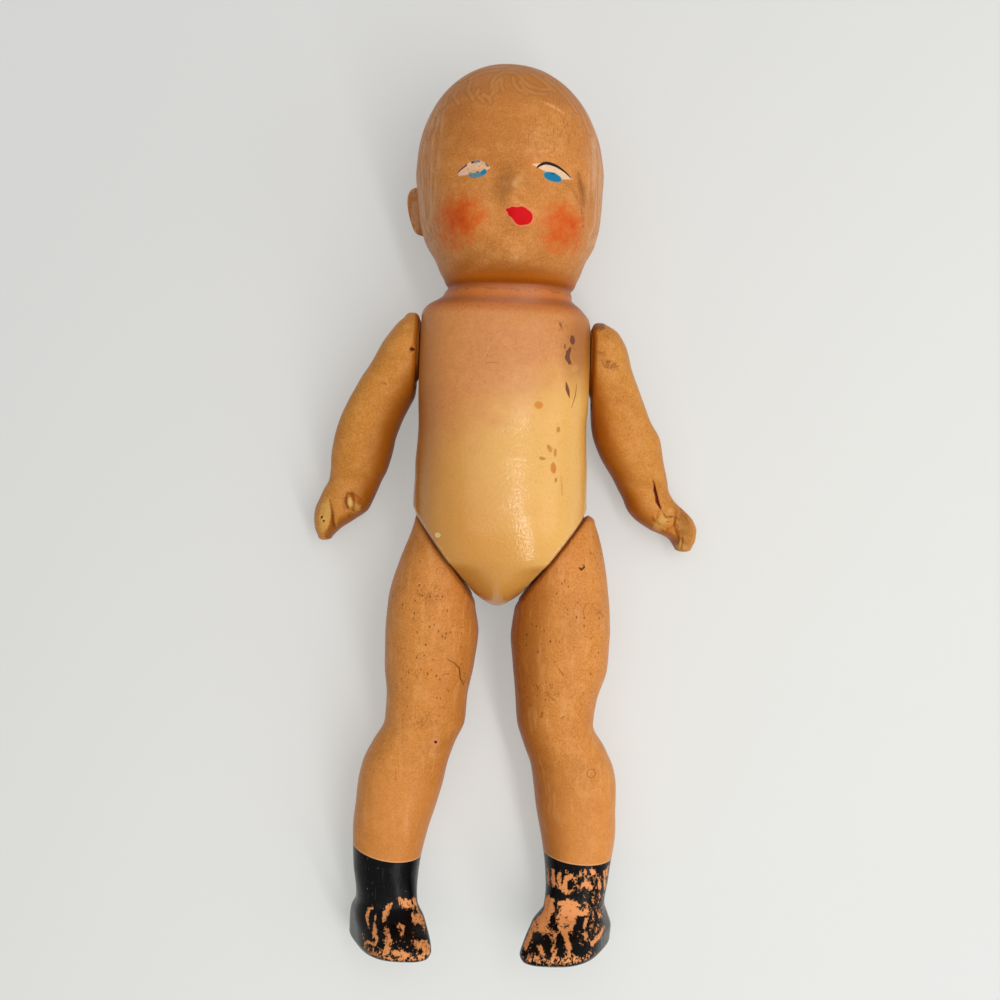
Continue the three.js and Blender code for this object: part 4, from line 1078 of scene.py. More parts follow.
def drawFace(skin):
    x, y = skin.x, skin.y
    blush = skin.tone("blush")
    patchy = blush + (skin.noise(3.2, 3) - 0.5) * 1.4 + skin.ragged * 0.26 + skin.crumb * 0.2
    skin.over(face["blush"], patchy.ramp(-0.1, 0.8) * blush.ramp(0, 0.2) * 0.85)
    skin.over(face["blushCore"], patchy.ramp(0.45, 1.25) * blush.ramp(0.2, 0.5) * 0.7)
    drawMarks(skin, face["cracks"])
    ripple = skin.crumb * 0.05

    def lashLine(peak, top, innerFall, outerFall):
        before, after = (x - peak).least(0), (x - peak).most(0)
        return -(before * before * innerFall) - after * after * outerFall + top

    def within(low, high, soft=0.12):
        return x.ramp(low - soft, low + soft) * x.ramp(high + soft, high - soft)

    # left eye
    lash = lashLine(*lashes[1])
    corner = (x - 5.6) * 0.2 + 95.35 - (x - 8.5).most(0) * 1.2
    lower = (x * -0.404 + 97.56).most(x * 0.19 + 89.31)
    white = (y - lower + ripple).ramp(-0.1, 0.1) * ((lash + 0.25).most(corner) - y + ripple).ramp(-0.1, 0.1)
    white = white * within(5.7, 17.1)
    skin.over(face["white"], white * (skin.crumb.ramp(0.6, -0.2) * 0.3 + 0.66))
    skin.over(face["corner"], white * (x.ramp(8, 6) + x.ramp(15.2, 16.6)) * 0.7)
    iris = skin.oval(x, y, 11.4, 92.35, 2.4, 1.2, -15) + ripple
    skin.over(face["irisEdge"], iris.ramp(0.22, 0.05))
    skin.over(face["iris"], iris.ramp(0.06, -0.08))
    skin.over(face["lash"], (skin.oval(x, y, 11.5, 93.4, 0.55, 0.2, 10) + ripple).ramp(0.1, -0.1))
    halfWidth = (x - 10.6) * (x - 10.6) * -0.005 + 0.38
    skin.over(face["lash"], ((y - lash + ripple).size() - halfWidth).ramp(0.07, -0.07) * within(7, 16.6))

    # right eye, its lash line worn into pieces
    lash = lashLine(*lashes[-1])
    lower = (x * 0.1 + 93.43).most(x * 0.75 + 98.2)
    white = (y - lower + ripple).ramp(-0.1, 0.1) * (lash - y + 0.25 + ripple).ramp(-0.1, 0.1)
    white = white * within(-14.3, -4.9)
    skin.over(face["white"], white * ((skin.ragged + skin.crumb).ramp(-0.7, 0.3) * 0.5 + 0.3))
    skin.over(face["corner"], white * x.ramp(-11.6, -13) * 0.6)
    lid = skin.oval(x, y, -9.4, 94, 2.3, 1.35, 12)
    iris = (skin.oval(x, y, -9.05, 92.6, 2.5, 1.35, 12) + ripple).most(-lid)
    inside = iris.ramp(0.1, -0.1)
    skin.over(face["wornIris"], inside * (skin.ragged.ramp(-0.8, 0.2) * 0.45 + 0.55))
    skin.over(face["iris"], (skin.oval(x, y, -7.4, 93, 0.8, 0.9) + ripple).ramp(0.2, -0.2) * inside)
    skin.over(face["lash"], (skin.oval(x, y, -9.1, 92.9, 0.4, 0.16) + ripple).ramp(0.1, -0.1))
    along = (y - lash + ripple).size()
    for low, high, half, colour in ((-14.4, -12, 0.24, face["lash"]), (-10.9, -8.4, 0.26, face["wornLash"]),
                                    (-10.8, -10.2, 0.24, face["lash"]), (-7, -6.1, 0.2, face["lash"])):
        skin.over(colour, (along - half).ramp(0.07, -0.07) * within(low, high) * 0.92)

    # mouth
    lips = skin.stroke(x, y, [(-0.7, 82.3, 0.35), (0.9, 81.7, 1.4), (3.2, 80.8, 2.4), (4.3, 80.6, 2)])
    lips = lips.most(-skin.oval(x, y, 2, 83.5, 0.55, 0.5)) + ripple
    skin.over(face["lipEdge"], lips.ramp(0.5, 0.22) * 0.75)
    red = lips.ramp(0.06, -0.06)
    skin.over(face["lip"], red)
    skin.gloss(0.62, red)
    skin.lift(red * 0.05)


# fine upright cracks over the left brow
def drawBrowCracks(skin):
    crack = skin.noise(0.42, 2, 0.5, (1, 9, 9)).ramp(0.6, 0.67)
    skin.over(face["browCrack"], crack * skin.oval(skin.x, skin.y, 12.5, 107, 6, 9).ramp(3, -3) * 0.45)


# pale rubbed streaks down the sides of the head
def drawHeadSides(skin):
    streak = skin.noise(1.1, 4, 0.6, (1, 14, 1.3)).ramp(0.42, 0.6)
    side = skin.x.ramp(-17.5, -22) + skin.x.ramp(19.5, 23.5)
    skin.over(skinPaint["streak"], streak * side * skin.y.ramp(66, 74) * 0.4)


# painted shade on the neck: a dark band under the chin and darker creases, with the ridge between them
# painted paler as painted light; and cracks in the paint
neckPaint = {
    "paintedShade": (180, 92, 10), "litRidge": (196, 112, 40), "crack": (104, 50, 6),
    "creases": [(64.6, (146, 70, 4)), (60, (152, 78, 12))],
    "creaseWidth": 1.7, "ridgeLine": 62.2, "crackLine": 63,
}


def drawNeck(skin):
    y = skin.y
    uneven = skin.ragged * 0.4 + skin.crumb * 0.3
    worn = (skin.ragged * 0.6 + skin.crumb * 0.4).ramp(0.7, -0.4) * 0.3 + 0.68
    # painted shade under the chin and in the creases
    skin.over(neckPaint["paintedShade"], (y + uneven).ramp(55.6, 59.6) * (y + uneven).ramp(69, 65.5) * worn)
    for level, colour in neckPaint["creases"]:
        skin.over(colour, (y - level + uneven).size().ramp(neckPaint["creaseWidth"], 0.1) * worn)
    # painted light on the ridge between the creases
    skin.over(neckPaint["litRidge"], (y - neckPaint["ridgeLine"] + uneven).size().ramp(1.3, 0.2) * 0.4)
    crazed = (skin.crumb + skin.ragged * 0.7).ramp(0.25, 0.6) * y.ramp(56, 59) * y.ramp(68, 65)
    crack = (y - neckPaint["crackLine"] + skin.ragged * 0.9).size().ramp(0.3, 0.05)
    crack = crack * skin.noise(3, 3).ramp(0.44, 0.54)
    skin.over(neckPaint["crack"], crazed.most(crack) * 0.6)


# hair: its own darker tone, with a painted highlight on the raised strands and painted shade along their
# sides
hairPaint = {"crestHighlight": (216, 158, 104), "grooveShade": (146, 86, 38), "tone": (178, 112, 54)}


def drawHair(skin):
    crestHighlight = skin.tone("crestHighlight")
    skin.over(hairPaint["tone"], skin.y.ramp(110, 117) * 0.55)
    skin.over(hairPaint["grooveShade"], crestHighlight.ramp(0.04, 0.3) * crestHighlight.ramp(0.7, 0.35) * 0.3)
    skin.over(hairPaint["crestHighlight"], (crestHighlight + skin.ragged * 0.35 + skin.crumb * 0.2).ramp(0.35, 1.3) * 0.26)


# torso: rubbed pink chest, glossy cream belly, stains and chips
torso = {
    "paint": (202, 130, 64), "belly": (234, 180, 96), "lowBelly": (214, 152, 66), "chest": (208, 136, 74),
    "mottle": (158, 90, 36), "pit": (156, 96, 36), "crumb": (202, 144, 70), "flake": (120, 62, 12),
    "specular": 0.42,
    "tones": {
        # dark marks: the broad spots down the left side and on the left of the chest are painted shade; the
        # others are stains
        "dirtAndShade": [
            line([(13.6, 56.4, 0.2), (15.2, 54, 0.9), (16.3, 51.7, 0.5)], soft=0.9, share=0.75),
            line([(14.9, 52.4, 0.5), (14.4, 49.6, 0.8), (14, 46.6, 0.4)], soft=0.9, share=0.65),
            spot(16, 44, 2.4, 12, 4, soft=1.4, share=0.35), spot(-18, 40, 5, 14, soft=4, share=0.25),
            spot(-10, 33, 10, 5, 20, soft=4, share=0.3), spot(24, 23, 1.2, 6, soft=1, share=0.9),
        ],
        # pale marks: the long spot down the belly is a painted highlight; the others are paler paint
        "wearAndHighlight": [
            spot(19.8, 41.8, 1.2, 1, 30, soft=0.5), spot(8, 52, 8, 4, soft=3, share=0.3),
            spot(6, -2, 3, 12, -6, soft=2.4, share=0.35), spot(-12, 50, 6, 3, soft=3, share=0.3),
        ],
        # painted shade down the left side and where the left arm meets the chest
        "shadeOchre": [spot(-25, 16, 4, 28, soft=6, share=0.66), spot(22.6, 47, 5, 9, soft=4, share=0.8)],
    },
    "marks": [
        spot(9.8, 30.7, 1.2, 1.05, colour=(206, 126, 10), rough=0.3, share=1),
        spot(14.5, 13.3, 0.8, 1.55, 5, colour=(200, 120, 6), rough=0.3, share=1),
        spot(15.6, 24.1, 0.5, 0.8, colour=(176, 124, 40), rough=0.5, share=0.9),
        spot(13.3, 18.7, 0.6, 1.1, 25, colour=(186, 120, 22), rough=0.5, share=0.9),
        spot(11.4, 15.9, 0.9, 0.45, colour=(178, 118, 30), rough=0.5, share=0.9),
        spot(14.9, 17.6, 0.4, 1.2, colour=(190, 118, 18), rough=0.4, share=0.85),
        spot(15.3, 10, 0.3, 0.7, colour=(132, 72, 22), rough=0.3, share=0.8),
        spot(18.9, 49.7, 0.7, 1.2, 8, colour=(96, 42, 6), rough=0.6, share=0.9, depth=0.2),
        line([(18.5, 47.6, 0.1), (17.7, 46, 0.6), (17.6, 44.4, 0.7), (18.4, 43, 0.4)],
             colour=(92, 40, 4), rough=0.9, share=0.9, depth=0.2),
        spot(15.4, 53.6, 0.3, 0.8, 20, colour=(128, 70, 14), rough=0.8, share=0.9),
        spot(16.8, 47.6, 0.25, 0.6, colour=(120, 62, 12), rough=0.8, share=0.9),
        line([(17.4, 37.6, 0.1), (17.9, 35.6, 0.5), (18.5, 33.5, 0.1)],
             colour=(100, 42, 4), rough=0.2, depth=0.3),
        line([(17.2, 36.8, 0.04), (18.1, 34.2, 0.12), (18.6, 33.2, 0.04)], colour=(44, 16, 6), share=0.8),
        line([(20.6, 37.4, 0.05), (20.2, 34, 0.14), (19.3, 30.6, 0.05)],
             colour=(138, 86, 38), rough=0.1, depth=0.1),
        line([(-5.4, 41.8, 0.04), (-3.4, 42.1, 0.09), (-1.3, 42, 0.03)],
             colour=(138, 82, 42), rough=0.08, share=0.7),
        line([(2.4, 46.6, 0.05), (3, 46, 0.1)], colour=(128, 74, 36), share=0.6),
        line([(16.8, 11.2, 0.1), (17.2, 6, 0.15)], colour=(160, 102, 48), rough=0.5, share=0.5),
        spot(-16.9, -6.3, 0.9, 0.8, colour=(240, 200, 134), rough=0.4, depth=0.15),
    ],
}


def drawTorso(skin):
    x, y = skin.x, skin.y
    body = y.ramp(62, 57)
    slope = (x - 7) * 0.518 - (y - 30) * 0.855
    belly = (slope + (skin.noise(6, 5, 0.65) - 0.5) * 14).ramp(-14, 10)
    chest = belly.ramp(1, 0) * body
    skin.over(torso["chest"], chest * 0.45)
    skin.over(torso["mottle"], (skin.ragged * 0.5 + skin.crumb * 0.8).ramp(0, 0.8) * chest * 0.5)
    skin.over(torso["lowBelly"], belly * 0.7)
    # the cream fades towards the lower left: partly the belly's own colour, partly painted shade on the side
    # away from the light
    skin.over(torso["belly"], belly * (x + y * 0.5 + skin.ragged * 1.4).ramp(-14, 16) * 0.8)
    # painted shade down the left side and beside the left arm, laid again over the belly
    skin.over(skinPaint["shadeOchre"], skin.tone("shadeOchre") * 0.75)
    skin.gloss(0.18, belly)
    pits = skin.crumb.ramp(0.45, 0.85) * belly
    skin.over(torso["crumb"], (skin.crumb + skin.ragged * 0.6).ramp(0, 0.6) * belly * 0.36)
    skin.over(torso["pit"], pits * 0.45)
    skin.height = skin.height * (-belly * 0.85 + 1)
    skin.lift(pits * -0.02 + skin.noise(0.8, 1) * belly * 0.11)
    skin.shader.inputs["Specular IOR Level"].default_value = torso["specular"]
    flaked = skin.oval(x, y, 18, 50, 3.2, 7.5, 12).ramp(2, -2)
    skin.over(torso["flake"], (skin.crumb + skin.ragged * 0.7).ramp(0.35, 0.6) * flaked * 0.75)
    drawMarks(skin, torso["marks"])
    drawHipEdge(skin)


# paint rubbed off along the edges that the legs turn against, and the bare flats inside them
hipPaint = {"wearAndHighlight": (240, 198, 136), "edge": (116, 50, 20), "flat": (172, 116, 64)}
hipReach = joints["hipAcross"] * hipWay[0] + joints["hipLine"] * hipWay[1]


def drawHipEdge(skin):
    inside = skin.x.size() * -hipWay[0] - skin.y * hipWay[1] + hipReach
    skin.over(hipPaint["wearAndHighlight"], (inside + skin.ragged * 1.3 + skin.crumb * 0.6).ramp(0.7, 0.3) * 0.42)
    skin.over(hipPaint["edge"], (inside + skin.crumb * 0.2).ramp(0.34, 0.16) * 0.75)
    skin.over(hipPaint["flat"], inside.ramp(0.06, 0.02) * 0.85)


# arms: ochre paint with worn hands, and a painted highlight down the left forearm
armPaint = {"paint": (202, 134, 58), "mottle": (146, 86, 30), "rim": (150, 88, 34)}
armMarks = {
    1: {
        "dirtAndShade": [
            spot(27, 55, 2, 2, soft=1.2), spot(29.6, 52.4, 2.4, 1.8, soft=1.2, share=0.6),
            spot(27.6, 46.8, 2.2, 1.4, soft=1, share=0.7),
            spot(30, 43.6, 3.6, 1.6, -12, soft=1.2, share=0.85),
            spot(54.4, 0.6, 1.6, 3.6, 25, soft=0.8, share=0.75),
            spot(54.6, -3.6, 1.4, 1.2, soft=0.6, share=0.8),
            line([(47.4, 2.6, 0.1), (46.2, 1.4, 0.25), (47.2, -0.2, 0.3), (49.2, -0.9, 0.25),
                  (51, -0.4, 0.2)], soft=0.5),
            line([(51.4, 3.6, 0.1), (52.4, 1, 0.25), (51.6, -1.6, 0.2)], soft=0.5, share=0.8),
            line([(53.6, -5.4, 0.1), (54.6, -7.4, 0.25), (54.8, -9, 0.2)], soft=0.5, share=0.8),
            spot(38, 28, 5, 12, 20, soft=4, share=0.25),
        ],
        # pale marks: the long spot down the forearm is a painted highlight; the others are paler paint
        "wearAndHighlight": [
            spot(29.8, 49.6, 2.6, 1.4, soft=1.2, share=0.4), spot(50.6, 2.6, 1.4, 1, soft=0.7, share=0.5),
            spot(42, 22, 3, 8, 20, soft=3, share=0.25),
        ],
        "marks": [
            line([(44.6, 11.4, 0), (45.3, 9.6, 0.2), (45.5, 8.4, 0.42), (46.1, 6.6, 0.4), (46.3, 5.2, 0.5),
                  (46.9, 4, 0.3), (47.5, 2.6, 0.05)], colour=(92, 16, 10), rough=0.3, share=0.98),
            spot(47.4, -1.2, 1.5, 2.6, -20, colour=(216, 166, 84), soft=0.6, rough=1.6, share=0.7),
            spot(55, -2.4, 2, 4.4, 15, colour=(150, 98, 40), soft=1, rough=2.4, share=0.6),
            spot(54.2, -8, 1.5, 1.4, colour=(212, 166, 90), soft=0.6, rough=1.6, share=0.6),
            line([(48, 2.2, 0.1), (49, 0.6, 0.2), (51, 0.8, 0.25), (53, 0.2, 0.15)],
                 colour=(100, 56, 16), soft=0.25, rough=1, share=0.8),
            line([(52.6, -1.6, 0.15), (53.4, -4.6, 0.3), (53.2, -7.4, 0.2)],
                 colour=(104, 58, 16), soft=0.3, rough=1.2, share=0.75),
        ],
    },
    -1: {
        "dirtAndShade": [
            spot(-34.4, 36.4, 1.4, 1.1, soft=0.8, share=0.7), spot(-38, 25, 4, 6, soft=2, share=0.35),
            line([(-34.4, 29.8, 0.3), (-34.8, 27, 0.5), (-35.2, 25, 0.2)], soft=0.8, share=0.5),
            line([(-45.7, 4.2, 0.1), (-45.8, 2, 0.35), (-45.3, -0.2, 0.3)], soft=0.6),
            line([(-45.4, 4.7, 0.2), (-43.6, 4.9, 0.25), (-40.4, 2.8, 0.1)], soft=0.5),
            line([(-49.8, 2.4, 0.1), (-49.2, -1, 0.3), (-48.5, -5.6, 0.4)], soft=0.6),
            line([(-52.6, -2.4, 0.2), (-51.8, -4, 0.3)], soft=0.5),
            line([(-42.4, 8, 0.2), (-41.4, 5, 0.3)], soft=0.8, share=0.6),
            spot(-53.6, -0.4, 0.9, 2.4, soft=0.6, share=0.5), spot(-29, 44, 3, 2, soft=1.5, share=0.35),
        ],
        "wearAndHighlight": [
            spot(-28.6, 52.6, 2.4, 1.2, 40, soft=1, share=0.4),
        ],
        "marks": [
            spot(-51.5, -2.2, 1.7, 4.6, -8, colour=(210, 164, 86), soft=0.7, rough=2.2, share=0.75),
            line([(-50.2, 2.6, 0.1), (-49.4, -0.8, 0.25), (-48.9, -5.2, 0.3)],
                 colour=(110, 62, 14), soft=0.25, rough=0.8, share=0.75),
            spot(-44, 2, 0.75, 1.3, 4, colour=(222, 178, 104), soft=0.35, rough=0.8, share=0.8),
            line([(-45.1, 3.6, 0.15), (-45.3, 1.8, 0.3), (-44.6, 0.2, 0.2)],
                 colour=(120, 66, 18), soft=0.3, rough=0.6, share=0.8),
            line([(-45, 4.2, 0.1), (-43.4, 4.6, 0.2), (-42, 3.8, 0.1)],
                 colour=(130, 74, 22), soft=0.3, rough=0.6, share=0.7),
            spot(-42.2, 0.6, 1, 1.2, 20, colour=(214, 168, 92), soft=0.6, rough=1.4, share=0.55),
            spot(-26.4, 46.3, 0.75, 0.45, -8, colour=(88, 38, 8), rough=0.1, share=0.97),
            spot(-52.4, -2.8, 0.45, 0.3, 30, colour=(58, 30, 12), rough=0.15, share=0.95),
            spot(-51.8, -3.9, 0.35, 0.25, colour=(58, 30, 12), rough=0.15, share=0.95),
            spot(-44.6, -2.2, 0.3, 0.2, colour=(90, 50, 18), share=0.9),
        ],
    },
}


def drawArm(skin, side):
    skin.over(armPaint["mottle"], (skin.ragged * 0.5 + skin.crumb * 0.6).ramp(0.1, 0.9) * 0.45)
    drawMarks(skin, armMarks[side]["marks"])
    rim = skin.x * side - (joints["shoulderFace"] + joints["gap"])
    skin.over(armPaint["rim"], (rim + skin.ragged * 0.2).ramp(0.7, 0.2) * 0.6)


# legs: rubbed thighs with open pores and painted light down their middle, paler shins, and pale upright
# streaks on the upward faces that are a painted sheen
legPaint = {
    "paint": (210, 136, 64), "pore": (100, 50, 14), "mottle": (152, 84, 28), "sheenStreak": (232, 168, 104),
    "shin": (216, 140, 72), "rim": (150, 84, 30),
}
legMarks = {
    1: {
        "dirtAndShade": [
            line([(24.6, -8, 0.2), (27.6, -11.6, 0.4), (28.6, -12.4, 0.2)], soft=0.5, share=0.8),
            spot(16.4, -50.6, 3, 5, 20, soft=2, share=0.6), spot(24, -50.6, 4, 3, -20, soft=2, share=0.5),
            line([(14.4, -56, 0.3), (13.8, -58, 0.4)], soft=0.5), spot(20, -20, 8, 10, soft=4, share=0.3),
            spot(30, -78, 4, 3, soft=2, share=0.4), spot(22, -34, 7, 8, soft=4, share=0.3),
        ],
        # pale marks: the broad spot down the thigh is painted light; the others are paler paint
        "wearAndHighlight": [spot(21.4, -53.4, 4.4, 3, soft=3, share=0.4), spot(22, -30, 5, 9, soft=4, share=0.3),
                   spot(31, -79, 2, 1.4, -30, soft=1, share=0.4)],
        "marks": [
            line([(22.9, -14.4, 0.1), (23.7, -14.9, 0.3), (24.5, -14.2, 0.2), (24.3, -13.6, 0.1)],
                 colour=(74, 34, 10), rough=0.1, share=0.95, depth=0.3),
            line([(26.4, -24.4, 0.05), (28.4, -26.4, 0.12), (31, -28.4, 0.05)],
                 colour=(142, 82, 36), rough=0.2, share=0.6),
            line([(25.4, -24.2, 0.1), (24.6, -26.6, 0.14), (24.9, -28, 0.1)],
                 colour=(130, 72, 30), rough=0.2, share=0.6),
            line([(17.6, -42.4, 0.06), (19.6, -45.2, 0.14)], colour=(118, 64, 26), share=0.8),
            line([(19.6, -58, 0.1), (20.4, -57.4, 0.16)], colour=(112, 54, 20), share=0.85),
        ],
    },
    -1: {
        "dirtAndShade": [spot(-19, -23, 5.4, 4.6, soft=3, share=0.6), spot(-20, -60, 5, 4, 20, soft=3, share=0.55),
                 spot(-22, -42, 6, 9, soft=4, share=0.25)],
        # pale marks: the broad spot down the thigh and the long streak down the shin are painted light; the
        # other is paler paint
        "wearAndHighlight": [spot(-17.2, -69.6, 1.3, 2, 10, soft=1, share=0.5), spot(-20, -33, 5, 8, soft=4, share=0.3),
                   spot(-24, -90, 1.2, 9, soft=1.4, share=0.5)],
        "marks": [
            line([(-13.5, -41.7, 0.05), (-11.4, -43, 0.12), (-10, -44.5, 0.16), (-9.7, -47.3, 0.2),
                  (-8.8, -49.7, 0.1)], colour=(114, 56, 20), rough=0.2, share=0.85, depth=0.15),
            line([(-14.6, -46.2, 0.12), (-13, -46, 0.16)], colour=(126, 68, 28), rough=0.2, share=0.75),
            spot(-16.2, -66.3, 1.2, 1.1, colour=(228, 144, 108), soft=0.7, share=0.4),
            spot(-16.2, -66.3, 0.42, 0.42, colour=(52, 18, 10), rough=0.08, share=0.98, depth=0.25),
            line([(-27.4, -74.1, 0.04), (-27.3, -77, 0.09), (-27.2, -79.8, 0.04)],
                 colour=(152, 86, 38), rough=0.1, share=0.75),
        ],
    },
}
legRing = {"middle": (28.9, -73.9), "radius": 1.25, "colour": (134, 78, 30)}  # mark beside the left shin


def drawLeg(skin, side):
    x, y = skin.x, skin.y
    thigh = y.ramp(-78, -40)
    middle, number = skin.cells(1.15, (1, 1.7, 1))
    pores = (middle + skin.crumb * 0.06).ramp(0.26, 0.12) * number.ramp(0.46, 0.5)
    pores = pores * thigh * skin.noise(8, 3).ramp(0.4, 0.54)
    skin.over(legPaint["pore"], pores * 0.8)
    skin.lift(pores * -0.1)
    skin.over(legPaint["mottle"], (skin.ragged * 0.5 + skin.crumb * 0.4).ramp(0, 0.8) * thigh * 0.42)
    # painted sheen: pale upright streaks on the faces that look up
    worn = skin.noise(2.2, 4, 0.6, (1, 7, 1)).ramp(0.52, 0.68)
    skin.over(legPaint["sheenStreak"], worn * skin.front * 0.24)
    skin.over(legPaint["shin"], y.ramp(-70, -86) * 0.3)
    skin.gloss(0.33, y.ramp(-62, -80) * 0.7)
    drawMarks(skin, legMarks[side]["marks"])
    if side > 0:
        across, along = x - legRing["middle"][0], y - legRing["middle"][1]
        ring = ((across * across + along * along).root() - legRing["radius"]).size() + skin.crumb * 0.05
        skin.over(legRing["colour"], ring.ramp(0.17, 0.06) * skin.front * 0.8)
    rim = x * (side * hipWay[0]) + y * hipWay[1] - (hipReach + joints["gap"])
    skin.over(legPaint["rim"], (rim + skin.ragged * 0.4).ramp(1.3, 0.2) * 0.55)
    drawShoe(skin, side)


